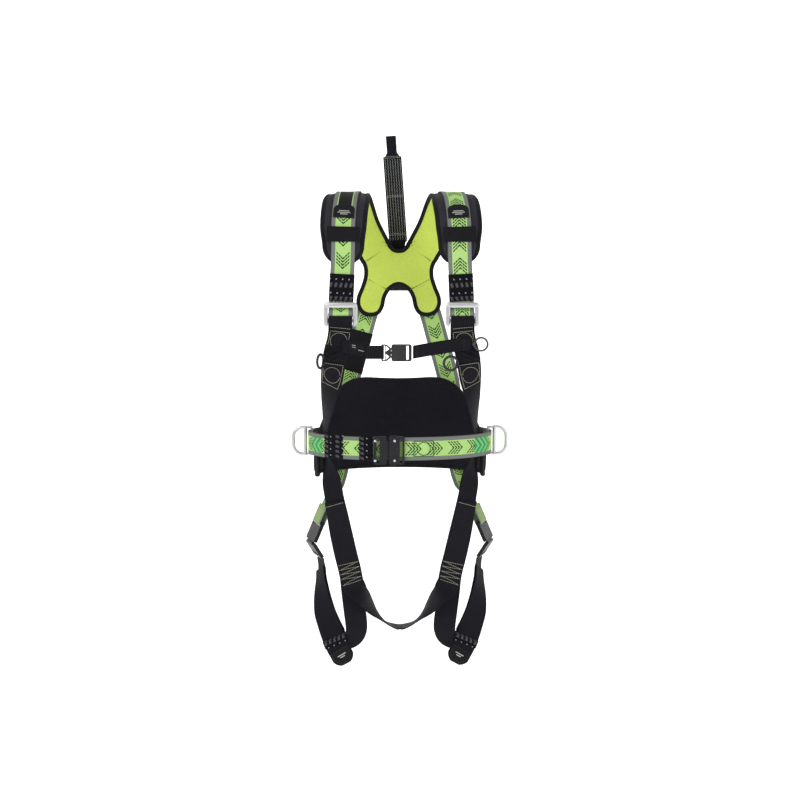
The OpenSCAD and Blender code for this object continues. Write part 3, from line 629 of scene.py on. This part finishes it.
RIGHT_CHEST = [(x, CHEST_Y, z, 0, 0, 1, w) for x, z, w in (
    (21.5, 633, 25), (50, 638, 25), (80, 643, 25), (110, 647, 25), (126, 648, 25), (132.5, 648, 12))]
WAIST = [(0, 566, 378), (12, 567, 378), (24, 569, 378), (33, 567, 378), (40, 560, 378), (48, 547, 378),
         (56, 527, 378), (64, 498, 378), (73, 472, 378), (84, 461, 378), (95, 457, 378), (103, 455, 379),
         (107, 446, 386)]
BACK_PAD = [(0, 833), (9, 835), (17, 844), (22, 854), (77, 805), (74, 798), (72, 789), (73, 774), (79, 755),
            (87, 735), (88, 718), (81, 703), (68, 695), (52, 694), (39, 700), (31, 714), (27, 732), (19, 747),
            (8, 755), (0, 757)]

main, front = Route(MAIN), Route(FRONT)
# Steps of the curves (four to a row) where small pieces sit.
BAND, TAB, BACK_SLEEVE, SEAT_LIES = (57, 60), (62, 65), (111, 118), (89, 103)
pads = Route([(*r, w) for r, w in zip(MAIN[13:23], PAD_WIDTHS)], 6)
# The seat strap lies on the thigh strap, leaves it, and crosses under the seat to the other thigh.
lying = front.cut(*front.knots[list(SEAT_LIES)], 6.0)
half = [(*p, *a) for p, a in zip(lying.p + (WEB_T + 0.7) * lying.f, lying.s)]
half += [tuple(r[:6]) for r in Route.curve(np.array([(*r, WEB_W) for r in HALF_SEAT]), 4)]
seat = Route(half + [(-x, y, z, -a, b, c) for x, y, z, a, b, c in half[-2::-1]], 1)
tail = Route(TAIL)
SIDES = (("left", lambda r: r, -1), ("right", lambda r: r.mirrored(), 1))


def rounded(away, radius):
    """Width of a round end at a distance from its tip."""
    return 2 * np.sqrt(np.clip(radius ** 2 - (radius - np.minimum(away, radius)) ** 2, 4, None))


def spot(route, z, low, high):
    """Distance along a route where it passes the height z, searched between low and high."""
    inside = (route.v >= low) & (route.v <= high)
    return float(route.v[inside][np.argmin(np.abs(route.p[inside, 2] - z))])


# ---- Pads ----

def puffed(t, d):
    """Half thickness at a distance d from the edge: bound edge, stitched groove, stuffed middle."""
    bead = 0.72 * t / 2 * np.sqrt(np.clip(1 - (np.clip(1 - d / 2.6, 0, 1)) ** 2, 0, 1))
    groove = 0.9 * np.exp(-((d - BIND) / 1.1) ** 2)
    middle = (t / 2 * 0.36) * (1 - np.exp(-np.clip(d - BIND, 0, None) / 6.0))
    return np.maximum(bead - groove + middle, 0.15)


def distance_to(points, line):
    """Distance of 2-D points to an open line."""
    a, b = line[:-1], line[1:]
    ab = b - a
    t = ((points[:, None] - a) * ab).sum(-1) / np.maximum((ab ** 2).sum(-1), 1e-9)
    near = a + np.clip(t, 0, 1)[..., None] * ab
    return np.sqrt(((points[:, None] - near) ** 2).sum(-1)).min(1)


def pad_strip(name, route, t, mats, lift, ends, seam=None, across=44):
    """Padding along a route, with the distance from its edge as UV.

    ends says how far each end is from a bound edge; JOINED means it is sewn on.
    """
    d0, d1 = route.v - route.v[0] + ends[0], route.v[-1] - route.v + ends[1]
    cut = np.sin(np.linspace(-1, 1, across) * math.pi / 2 * 0.97) / math.sin(math.pi / 2 * 0.97)
    u = cut[None] * route.w[:, None] / 2
    v = np.repeat(route.v[:, None], across, 1)
    edge = np.minimum(np.minimum(route.w[:, None] / 2 - np.abs(u), d0[:, None]), d1[:, None])
    h = puffed(t, edge)
    z = route.p[:, 2][:, None] + u * route.s[:, 2][:, None]
    if seam:
        h = h - seam(v, z)
    soft = 0.35 * np.sin(v / 31 + u / 19) * np.clip(edge / 20, 0, 1)
    top, low = route.at(u, v, lift + h + soft), route.at(u, v, lift - h + soft)
    n, m = u.shape
    uv = np.concatenate([np.stack([edge, v], -1), np.stack([edge[:, ::-1], v], -1)], 1)
    which = [int(j >= m) for _ in range(n - 1) for j in range(2 * m)] + [0] * (2 * m - 2)
    return build(name, *shell(top, low), uv, mats, "harness", which)


for side, turn, _ in SIDES:
    # The pad's lower front end is round; its back end is sewn to the back pad.
    own = turn(pads)
    route = own.cut(-2, own.length + 17, 2.2)
    beyond, before = route.v > own.length, route.v < 0
    step = unit((own.p[-1] - own.p[-4]) * (1, 0, 1))
    route.p[beyond] = own.p[-1] + step * (route.v[beyond] - own.length)[:, None]
    route.p[before] = own.p[0] + np.array([0, 0, 1.0]) * route.v[before][:, None]
    route.w = route.w - 68 + rounded(route.v - route.v[0], 34.0)
    pad = pad_strip(f"{side}_shoulder_cushion", route, 9.4, ("pad", "mesh"), PAD_LIFT, (0.5, JOINED))
    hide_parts(f"{side}_shoulder_pad")
    lines = []
    for s in (-1, 1):
        inset = s * (route.w / 2 - BIND + 1.3)
        keep = slice(8, -7)  # the seam stops short of both ends
        lines.append((route.at(inset[keep], route.v[keep], PAD_LIFT + 2.6), route.f[keep]))
    beads(f"{side}_pad_stitching", lines, "black_thread", "harness", 0.45, 3.0, 1.3, slot="")


def smooth_loop(points, sharp, n=6):
    """A closed curve through points, straight into the sharp ones."""
    pts, out = np.array(points, float), []
    count = len(pts)
    for i in range(count):
        a, b, c, d = pts[i - 1], pts[i], pts[(i + 1) % count], pts[(i + 2) % count]
        if i in sharp:
            a = b - (c - b)
        if (i + 1) % count in sharp:
            d = c + (c - b)
        out += [bend(a, b, c, d, j / n) for j in range(n)]
    return np.array(out)


def winding(p, loop):
    """True if a point is inside a closed loop."""
    x, z = p
    a, b = loop, np.roll(loop, -1, 0)
    cross = (a[:, 1] > z) != (b[:, 1] > z)
    with np.errstate(divide="ignore", invalid="ignore"):
        at = a[:, 0] + (z - a[:, 1]) * (b[:, 0] - a[:, 0]) / (b[:, 1] - a[:, 1])
    return bool((cross & (x < at)).sum() % 2)


def slab(name, outline, y_mid, t, mats, grooves, joined):
    """Padding cut to an outline in X and Z; joined lines are sewn on to another pad, unbound."""
    loop = [Vector(p) for p in outline]
    x0, z0 = outline.min(0)
    x1, z1 = outline.max(0)
    step = 2.6
    grid = [Vector((x, z)) for k, z in enumerate(np.arange(z0, z1, step))
            for x in np.arange(x0 + (k % 2) * step / 2, x1, step)]
    closed = np.vstack([outline, outline[:1]])
    g = np.array([tuple(p) for p in grid])
    far = distance_to(g, closed)
    inside = np.array([winding(p, outline) for p in g])
    grid = [p for p, ok, d in zip(grid, inside, far) if ok and d > 1.2]
    n = len(loop)
    out = delaunay_2d_cdt(loop + grid, [(i, (i + 1) % n) for i in range(n)], [list(range(n))], 1, 1e-5)
    verts, faces = np.array([tuple(p) for p in out[0]]), out[2]
    edge = distance_to(verts, closed)
    bound_edge = edge.copy()
    for line in joined:
        near = distance_to(verts, np.array(line, float))
        other = closed[distance_to(closed, np.array(line, float)) > 1.0]
        gap = np.sqrt(((verts[:, None] - other[None]) ** 2).sum(-1)).min(1)
        bound_edge = np.where(near <= edge + 0.5, np.maximum(gap, bound_edge), bound_edge)
    h = puffed(t, bound_edge)
    for line in grooves:
        h = h - 1.5 * np.exp(-(distance_to(verts, np.array(line, float)) / 1.5) ** 2)
    h = np.maximum(h, 0.2)
    wave = 0.4 * np.sin(verts[:, 0] / 21) * np.cos(verts[:, 1] / 17) * np.clip(edge / 20, 0, 1)
    front_pts = np.stack([verts[:, 0], y_mid - h + wave, verts[:, 1]], 1)
    back_pts = np.stack([verts[:, 0], y_mid + h + wave, verts[:, 1]], 1)
    count = len(verts)
    every = [tuple(f) for f in faces] + [tuple(count + i for i in f[::-1]) for f in faces]
    which = [0] * len(faces) + [1] * len(faces)
    border = {}
    for f in faces:
        for a, b in zip(f, [*f[1:], f[0]]):
            key = (min(a, b), max(a, b))
            border[key] = None if key in border else (a, b)
    for pair in border.values():
        if pair:
            a, b = pair
            every.append((b, a, count + a, count + b))
            which.append(0)
    uv = np.stack([bound_edge, verts[:, 0] + verts[:, 1]], 1)
    return build(name, np.vstack([front_pts, back_pts]), every, np.vstack([uv, uv]), mats, "harness", which)


whole = BACK_PAD + [(-x, z) for x, z in BACK_PAD[-2:0:-1]]
tips = {3, 4, len(whole) - 4, len(whole) - 3}
outline = smooth_loop(whole, tips)
seams = []
for s in (-1, 1):
    seams += [[(s * 24, 843), (s * 69, 805)], [(s * 30, 851), (s * 76, 812)],
              [(s * 64, 771), (s * 20, 747)]]
arms = [[(s * 22, 854), (s * 77, 805)] for s in (-1, 1)]
back = slab("back_cushion", outline, BACK_Y, 9.4, ("mesh", "backing"), seams, arms)
rows = []
for (xa, za), (xb, zb) in seams:
    t = np.linspace(0.04, 0.96, 30)[:, None]
    place = np.array([xa, 0, za]) * (1 - t) + np.array([xb, 0, zb]) * t
    place[:, 1] = BACK_Y - 3.2
    rows.append((place, np.tile([0.0, -1, 0], (30, 1))))
beads("back_pad_seams", rows, "olive_thread", "harness", 0.85, 3.2, 0.25)
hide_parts("back_pad")

# The waist pad stands on an oval: its rows run round the back, upright.
rows = []
for i in range(-len(WAIST) + 1, len(WAIST)):
    angle, top, low = WAIST[abs(i)]
    q = math.radians(math.copysign(angle, i))
    rows.append((-WAIST_A * math.sin(q), WAIST_B * math.cos(q), (top + low) / 2, 0, 0, 1, top - low))
waist = Route(rows, 3, 3.0)


def waist_seam(v, z):
    """Depth of the seam that runs along the pad above the belt."""
    return 1.5 * np.exp(-((z - 486 + 4 * np.cos(v / 110)) / 1.8) ** 2)


pad = pad_strip("waist_cushion", waist, 10.4, ("waist", "waist"), 0.0, (0.5, 0.5), waist_seam, across=64)
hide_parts("waist_pad")


# ---- Straps ----

def turned_down(u, v, w):
    """Heights of a thin band whose edges bend down round the pad."""
    drop = 1.6 * np.clip((np.abs(u) - 24) / 7, 0, 1) ** 2
    return 0.75 + 0 * u - drop, 0.75 + 0 * u + drop


for side, turn, sign in SIDES:
    # The chevrons point down the left strap's front and up the right one's.
    m = turn(main)
    chev = -1 if side == "left" else 1
    strap = strip(f"{side}_shoulder_webbing", m.cut(0, m.length, 3.2), WEB_T, "lime", run=chev,
                  offset=6 if chev > 0 else 14, wave=0.1, seed=sign)
    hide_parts(f"{side}_main_strap")

    start, end = m.knots[list(BAND)]
    band = strip(f"{side}_elastic_band", m.cut(start - 1, end + 1, 2.0), 1.5, "elastic", width=62,
                 lift=2.5, across=30, shape=turned_down)
    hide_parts(f"{side}_pad_band")

    # The label is a tab with an arched top and three plain bars on it.
    v0, v1 = m.knots[list(TAB)] + (0, 2)
    tab_route = m.cut(v0, v1, 1.2)
    top = np.clip((v1 - tab_route.v) / 13, 0, 1)
    tab_route.w = 6 + 34 * np.sqrt(np.clip(1 - (1 - top) ** 2, 0, 1))
    label = strip(f"{side}_label_tab", tab_route, 1.1, "label", lift=2.1)
    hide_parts(f"{side}_shoulder_label")
    for n, (half, v) in enumerate(((9.5, v0 + 14.5), (12, v0 + 11), (7, v0 + 7.5))):
        mark = m.cut(v - 0.75, v + 0.75, 0.7, width=2 * half)
        strip(f"{side}_label_bar_{n + 1}", mark, 0.25, "mark", lift=2.75)
    edge = [on(tab_route, [(s * 18.6, v0 + 1.5), (s * 18.6, v1 - 12)], 2.7) for s in (-1, 1)]
    edge.append(on(tab_route, [(-18.6, v0 + 1.5), (18.6, v0 + 1.5)], 2.7))
    beads(f"{side}_label_stitching", edge, "black_thread", "harness", 0.3, 1.9, 0.8)

    keeper_route = Route([(-113.5, -121, 728.5, -1, 0, 0), (-110.95, -121, 779.5, -1, 0, 0)], 1, 2.0)
    keeper = sleeve(f"{side}_printed_keeper", turn(keeper_route), WEB_T + 4 * GAP, 1.0,
                    body=f"{side}_keeper_body", width=WEB_W + 2 * GAP, wave=0.06)
    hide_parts(f"{side}_keeper")

    # Front and leg strap.
    f = turn(front)
    leg = strip(f"{side}_leg_webbing", f.cut(0, f.length, 3.2), WEB_T, wave=0.12, seed=2.0 * sign)
    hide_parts(f"{side}_front_strap")
    low = lambda z: spot(f, z, 62, 320)
    sewn = [on(f, [(-19, low(681)), (19, low(679))], 1.3)]
    for n, (a, b) in enumerate(((672, 635), (612, 569))):
        part = f.cut(low(a), low(b), 2.0, width=41)
        patch = strip(f"{side}_stitch_patch_{n + 1}", part, 0.8, lift=1.9, wave=0.05)
        if n == 0:
            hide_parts(f"{side}_stitch_patches")
        mid, far = (low(a) + low(b)) / 2, (low(b) - low(a)) / 2 - 1.6
        sewn.append(on(f, [(-18.4, mid - far), (18.4, mid - far), (18.4, mid + far), (-18.4, mid + far),
                           (-18.4, mid - far)], 2.45))
        sewn.append(ring_line(f, mid, 15.8, 2.45))

    # The seat strap is sewn on by a zigzag block, and its flush upper end by one slanting row.
    across = turn(seat)
    v0 = spot(across, 212, 0, 330)
    corners = [(20.0, v0 + 5 * k - 4) if k % 2 else (-20.0, v0 + 5 * k) for k in range(10)]
    sewn += [on(across, pair, 1.35) for pair in zip(corners, corners[1:])]
    sewn.append(on(across, [(-21, across.v[0] + 9), (21, across.v[0] + 3)], 1.35))
    beads(f"{side}_khaki_stitching", sewn, "khaki", "harness", 0.5, 2.8, 0.7)

    # The webbing is gathered in folds where the sewn loop for the eye comes out.
    top, low_end = low(644), low(615)
    part = f.cut(top, low_end, 0.9, width=46)
    middle, reach = (top + low_end) / 2, (low_end - top) / 2

    def folds(u, v, w):
        """Heights of the gathered webbing: large folds with small creases, flat at its border."""
        lean = (v - middle) + 0.45 * u + 2.2 * np.sin(u / 7 + 1)
        fade = np.clip(1 - (np.abs(v - middle) / reach) ** 4, 0, 1) * np.clip((w / 2 - np.abs(u)) / 3, 0, 1)
        big, small = np.sin(lean / 1.7) * np.cos(u / 11 + 0.6), np.sin(lean / 0.8 + u / 5)
        return np.maximum(0.8 + fade * (1.9 + 1.9 * big + 0.9 * small), 0.4), 0.8 + 0 * u

    gather = strip(f"{side}_gathered_loop", part, 2, lift=2.4, shape=folds, across=48)
    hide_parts(f"{side}_loop_gather")

    # Hanging tail of the leg strap: a turned-over end with a sewn tab.
    t = turn(tail)
    long_tail = t.cut(0, t.length, 1.5)
    long_tail.w = np.minimum(45, rounded(t.length - long_tail.v + 1.5, 22.5) + 2)
    hanging = strip(f"{side}_tail_webbing", long_tail, 1.9, wave=0.15, seed=sign)
    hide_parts(f"{side}_leg_tail")
    tab = t.cut(t.length - 33, t.length - 1.2, 1.2)
    tab.w = np.minimum(40, rounded(t.length - tab.v, 20.5))
    strip(f"{side}_tail_tab", tab, 1.0, "label", lift=1.7)
    border = on(t, [(-17.5, t.length - 30), (-17.5, t.length - 16), (-9, t.length - 4), (9, t.length - 4),
                    (17.5, t.length - 16), (17.5, t.length - 30), (-17.5, t.length - 30)], 2.4)
    beads(f"{side}_tail_tab_stitching", [border], "black_thread", "harness", 0.35, 2.0, 0.8)
    for n, (half, v) in enumerate(((9, 20), (5, 16))):
        mark = t.cut(t.length - v - 0.9, t.length - v + 0.9, 0.7, width=2 * half)
        strip(f"{side}_tail_bar_{n + 1}", mark, 0.25, "mark", lift=2.32)
    leg_keeper = Route([(-134.2, -51, 59.4, 0.88, 0, 0.44), (-131.1, -52.5, 52.3, 0.88, 0, 0.45),
                        (-128, -54, 45.2, 0.88, 0, 0.46)], 2, 1.0, width=WEB_W + 2)
    around = sleeve(f"{side}_leg_loop_keeper", turn(leg_keeper), 3.4, 0.9)
    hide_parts(f"{side}_leg_keeper")

seat_piece = strip("seat_webbing", seat.cut(0, seat.length, 3.2), WEB_T, wave=0.12, seed=1.0)
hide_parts("seat_strap")

# The elastic sleeve on the left back strap.
cover = sleeve("back_elastic_sleeve", main.cut(*main.knots[list(BACK_SLEEVE)], 2.0), WEB_T + 4 * GAP, 0.8,
               "elastic", width=WEB_W + 4 * GAP, wave=0.12)
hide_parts("back_strap_sleeve")

# A black tape covers the middle of the left strap from its label to the top.
start = main.knots[TAB[1]] + 1
tape = main.cut(start, start + 61, 2.0, width=25)
strip("left_shoulder_tape", tape, 0.7, "label", lift=1.55, slot="black_webbing")


# ---- Chest ----

left_chest, right_chest = Route(LEFT_CHEST, 4, 2.0, 25), Route(RIGHT_CHEST, 4, 2.0, 25)
for side, route in (("left", left_chest), ("right", right_chest)):
    piece = strip(f"{side}_chest_webbing", route, 1.6, wave=0.08)
    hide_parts(f"{side}_chest_strap")


def loop_rows(reach, r, width):
    """Two layers of webbing round a bar at the origin, drawn in X and Y, Z across."""
    pts = [(-reach, r), (-reach / 2, r), (-r, r), (0, r)]
    pts += [(r * math.sin(a), r * math.cos(a)) for a in np.radians([30, 60, 90, 120, 150])]
    pts += [(0, -r), (-r, -r), (-reach / 2, -r), (-reach, -r)]
    return [(x, y, 0, 0, 0, 1, width) for x, y in pts]


def moved(route, matrix):
    """A route carried to another place by a matrix."""
    turn3 = np.array(matrix.to_3x3())
    new = route.cut(0, route.length, 1.5)
    new.p = new.p @ turn3.T + np.array(matrix.translation)
    new.s, new.f = new.s @ turn3.T, new.f @ turn3.T
    return new


plug_eye = moved(Route(loop_rows(32, 2.8, 25), 3, 1.5), Matrix.Translation((-36.5, CHEST_Y, 633)))
eye_piece = strip("chest_plug_webbing", plug_eye, 1.4, "web", "chest_release_half")
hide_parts("chest_plug_loop")
rows = [on(plug_eye, [(-10.5, v), (10.5, v)], -0.8) for v in (plug_eye.length - 4, plug_eye.length - 8)]
beads("chest_plug_stitching", rows, "black_thread", "chest_release_half", 0.35, 2.0, 0.9)
small = left_chest.cut(14, 47, 1.5, width=14)
strip("chest_label", small, 0.6, "label", lift=1.15)
for n, (u, a, b) in enumerate(((4.2, 19, 26), (0.6, 19, 26), (-3.0, 31, 42))):
    line = left_chest.at(u, np.linspace(a, b, 8), 1.55)
    tube(f"chest_label_bar_{n + 1}", line, 0.5, "harness", "mark", 6, squash=0.4, normal=(0, -1, 0))
stitch_lines = [on(right_chest, [(-10, v), (10, v)], 0.95) for v in (6, 9, 96, 99)]
beads("chest_strap_stitching", stitch_lines, "black_thread", "harness", 0.35, 2.0, 0.9)


# ---- Eyes in the front loops: a stiff tube wrapped in tape, with a textile neck ----

def front_eye(name, at, turn_deg, body, node):
    """An eye whose hinge stands upright at a point, turned round it by some degrees."""
    a = math.radians(turn_deg)
    c, s = math.cos(a), math.sin(a)

    def put(x, y, z):
        return (at[0] + c * x - s * y, at[1] + s * x + c * y, at[2] + z)

    angle = np.linspace(0, 2 * math.pi, 73)[:-1]
    ring = [put(-14 + 13 * math.cos(t), 0, 13 * math.sin(t)) for t in angle]
    normal = (-s, c, 0)
    wrap = np.array([2.5 + 0.16 * math.sin(18 * t) for t in angle])
    piece = tube(name, ring, wrap, body, "plastic", 14, True, 1.0, normal)
    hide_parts(node)
    neck = [put(-2.2, 0, z) for z in np.linspace(-9, 9, 15)]
    width = np.array([2.7 - 0.7 * abs(z) / 9 for z in np.linspace(-9, 9, 15)])
    tube(f"{name}_neck", neck, width, body, "label", 12, False, 1.0, normal, "black_webbing")


front_eye("left_textile_eye", (-146, -127.5, 617), 65, "left_eye", "left_front_eye")
front_eye("right_textile_eye", (107, -126.6, 612), 0, "right_eye", "right_front_eye")


# ---- Belt ----

def oval(start, end, width, n=90):
    """The belt's route between two angles from its front middle."""
    out = []
    for i in range(n + 1):
        q = math.radians(start + (end - start) * i / n)
        out.append((BELT_A * math.sin(q), -BELT_B * math.cos(q), BELT_Z, 0, 0, 1, width))
    return Route(out, 1, 3.0)


# Two runs of one belt, so that the chevrons point away from the buckle on both sides.
right_run, left_run = oval(-5, 180, WEB_W), oval(348.5, 180, WEB_W)
for name, route in (("right_belt_webbing", right_run), ("left_belt_webbing", left_run)):
    strip(name, route, WEB_T, "lime", offset=8, wave=0.1)
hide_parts("waist_belt")
box = [on(right_run, [(-14.5, 40), (14.5, 40), (14.5, 78), (-14.5, 78), (-14.5, 40)], 1.4),
       ring_line(right_run, 59, 12.5, 1.4)]
beads("belt_green_stitching", box, "green", "harness", 0.95, 2.6, 0.3)


def along_belt(route, degrees):
    """Distance along the belt at an angle from its front middle."""
    x = BELT_A * math.sin(math.radians(degrees))
    inside = route.p[:, 1] < -20
    return float(route.v[inside][np.argmin(np.abs(route.p[inside, 0] - x))])


for name, route, a, b in (("right_ring_tack", right_run, 51, 70), ("left_ring_tack", left_run, 303, 290)):
    ends = sorted((along_belt(route, a), along_belt(route, b)))
    part = route.cut(*ends, 1.5, width=29.5)
    strip(name, part, 0.5, "bar_tack", lift=1.4 * (1 if route is right_run else -1))
for node, name, a, b in (("outer_belt_keeper", "outer_printed_keeper", 306.5, 322.5),
                         ("inner_belt_keeper", "inner_printed_keeper", 334, 343)):
    part = oval(a, b, WEB_W, n=6)
    piece = sleeve(name, part.cut(0, part.length, 2.0), WEB_T + 2 * GAP, 1.0,
                   width=WEB_W + 2 * GAP, wave=0.06)
    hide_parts(node)


# ---- Strap adjusters ----

# The pressed steel cover has a top bar and two cheeks; the strap folds over its lower bar.
for side, _, sign in SIDES:
    x0 = sign * ADJUSTER_X
    reach, edge = np.linspace(-29.5, 29.5, 25), np.abs(np.linspace(-1, 1, 25))
    bar = [(x0 + x, -130.2 - 1.6 * math.cos(x / 30 * 1.4), 721.6) for x in reach]
    tube(f"{side}_adjuster_top", bar, 5.4 - 1.6 * edge ** 4, "harness", "steel", 16, False, 0.5, (0, -1, 0))
    edge = np.abs(np.linspace(-1, 1, 20))
    for n, x in enumerate((-27.4, 27.4)):
        cheek = [(x0 + x, -129.4, z) for z in np.linspace(683.5, 724, 20)]
        tube(f"{side}_adjuster_cheek_{n + 1}", cheek, 4.5 - 1.5 * edge ** 6, "harness", "steel", 14, False,
             0.35, (0, -1, 0))
    rows = [(x0, y, z, -1, 0, 0) for y, z in ((-133.4, 684), (-133.6, 692), (-132.9, 698), (-131.9, 701))]
    fold = Route(rows, 4, 1.0, 44.6)
    strip(f"{side}_adjuster_fold", fold, 0.8)


# ---- Quick buckles ----

at_leg = (Matrix.Translation((-176, -6, 246)) @ Matrix.Rotation(math.radians(20), 4, "Z")
          @ Matrix.Rotation(math.radians(-65.6), 4, "Y"))
# The loop is drawn round the socket's end bar and runs on along the strap.
to_strap = (Matrix.Translation((40, 0, 3.5)) @ Matrix.Rotation(math.pi, 4, "Z")
            @ Matrix.Rotation(math.pi / 2, 4, "X"))
for side, turn, _ in SIDES:
    eye = turn(moved(Route(loop_rows(35, 5.4, WEB_W), 3, 1.5), at_leg @ to_strap))
    # The loop's lime webbing is painted darker, as shade.
    piece = strip(f"{side}_leg_loop_webbing", eye, 1.4, "lime_plain", f"{side}_leg_release_half")
    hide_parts(f"{side}_leg_loop")
    lines = [on(eye, [(-19, v), (19, v)], h) for h in (0.85, -0.85)
             for v in (3.0, 7.5, eye.length - 3.0, eye.length - 7.5)]
    beads(f"{side}_leg_loop_stitching", lines, "black_thread", f"{side}_leg_release_half", 0.35, 2.2, 0.9)


# ---- Extension strap ----

LEAN = math.radians(-4)
EXT = np.array([0, 136.6, 837.0])


def hang_on(points):
    """From the extension strap's own frame to the garment's."""
    x, y, z = np.moveaxis(np.asarray(points, float), -1, 0)
    c, s = math.cos(LEAN), math.sin(LEAN)
    return EXT + np.stack([x * c + z * s, y, -x * s + z * c], -1)


def ext_route(path, width, steps=3, pitch=2.0):
    """Webbing across X along a path of (y, z[, width]) in the extension strap's frame."""
    ax = hang_on((1, 0, 0)) - hang_on((0, 0, 0))
    rows = [(*hang_on((0, y, z)), *ax, *(w or (width,))) for y, z, *w in path]
    return Route(rows, steps, pitch)


around_bar = [(-2.5, 30, 38), (-3.4, 16, 37), (-5.2, 8, 30)] + [
    (-5.9 * math.cos(t), -5.9 * math.sin(t), 27.5) for t in np.radians([0, 30, 60, 90, 120, 150, 180])] + [
    (5.2, 8, 30), (3.4, 16, 37), (2.5, 30, 38)]
lower = strip("extension_lower_loop", ext_route(around_bar, 28), 2.2, "web", "extension")
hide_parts("extension_strap")
for n, (y, wide) in enumerate(((-2.4, 38), (0.0, 36.5), (2.4, 38))):
    layer = ext_route([(y, 12), (y, 100), (y, 187)], wide, 4, 3.0)
    piece = strip(f"extension_layer_{n + 1}", layer, 2.2, "web", "extension", wave=0.1, seed=n)
front_face = ext_route([(-2.4, 12), (-2.4, 100), (-2.4, 187)], 38, 4, 3.0)
lines = []
for u in np.linspace(-15.5, 15.5, 7):
    zig = [(u + (0.9 if i % 2 else -0.9), v) for i, v in enumerate(np.arange(3, 172, 3.2))]
    lines += [on(front_face, zig, h) for h in (1.25, -6.1)]
beads("extension_zigzag_stitching", lines, "pale_thread", "extension", 0.42, 2.6, 0.7)
lines = [on(front_face, [(-17.5, v), (17.5, v)], h)
         for v in (14, 17, 92, 95, 172, 175) for h in (1.3, -6.15)]
beads("extension_khaki_bands", lines, "khaki", "extension", 0.45, 2.3, 0.7)
rise = [(2.2, 178, 37), (2.4, 188, 30), (3.2, 196), (5.4, 206), (5.6, 216), (4.6, 223), (2.6, 227.5)]
top_loop = [(-y, *rest) for y, *rest in rise] + [(0, 229)] + rise[::-1]
strip("extension_top_loop", ext_route(top_loop, 21), 2.2, "web", "extension", wave=0.05)


# ---- Studio ----

for name, paint, place, tilt in (("floor", "floor_paint", (0, 2.0, -1.02), 0),
                                 ("backdrop", "wall_paint", (0, 4.6, 4), math.pi / 2)):
    bpy.ops.mesh.primitive_plane_add(size=14, location=place, rotation=(tilt, 0, 0))
    plane = bpy.context.object
    plane.name = name
    p = Paint(paint, 0.9)
    tone = p.mix(p.noise(3, 2), (0.92, 0.92, 0.92), (0.9062, 0.9062, 0.9062))
    p.set("Base Color", tone)
    p.set("Emission Color", tone)
    p.set("Emission Strength", 0.35)
    plane.data.materials.append(p.mat)

world = bpy.data.worlds.new("studio")
scene.world = world
world.use_nodes = True
sky = world.node_tree.nodes["Background"]
sky.inputs["Color"].default_value = (1, 1, 1, 1)
sky.inputs["Strength"].default_value = 0.5

# Area lights: name, place, where it points, its two sides in metres, watts.
for name, place, aim, size, power in (("key", (-1.6, -2.2, 1.3), (0, -0.1, -0.3), (1.2, 1.6), 26),
                                      ("fill", (2.0, -1.8, 0.4), (0, -0.1, -0.3), (1.4, 1.8), 12),
                                      ("back_wash", (0, 1.2, 2.2), (0, 4.6, 0), (4.0, 1.0), 120)):
    data = bpy.data.lights.new(name, "AREA")
    data.shape = "RECTANGLE"
    data.size, data.size_y, data.energy = size[0], size[1], power
    obj = bpy.data.objects.new(name, data)
    obj.location = place
    obj.rotation_euler = (Vector(aim) - Vector(place)).to_track_quat("-Z", "Y").to_euler()
    scene.collection.objects.link(obj)

camera = bpy.data.cameras.new("camera")
camera.sensor_width = 36
camera.lens = 52.0
camera.clip_start, camera.clip_end = 0.05, 50
eye = bpy.data.objects.new("camera", camera)
eye.location = (-0.052, -2.436, -0.037)
eye.rotation_euler = (Vector((0, -0.136, -0.267)) - eye.location).to_track_quat("-Z", "Y").to_euler()
scene.collection.objects.link(eye)
scene.camera = eye
scene.view_settings.view_transform = "Standard"
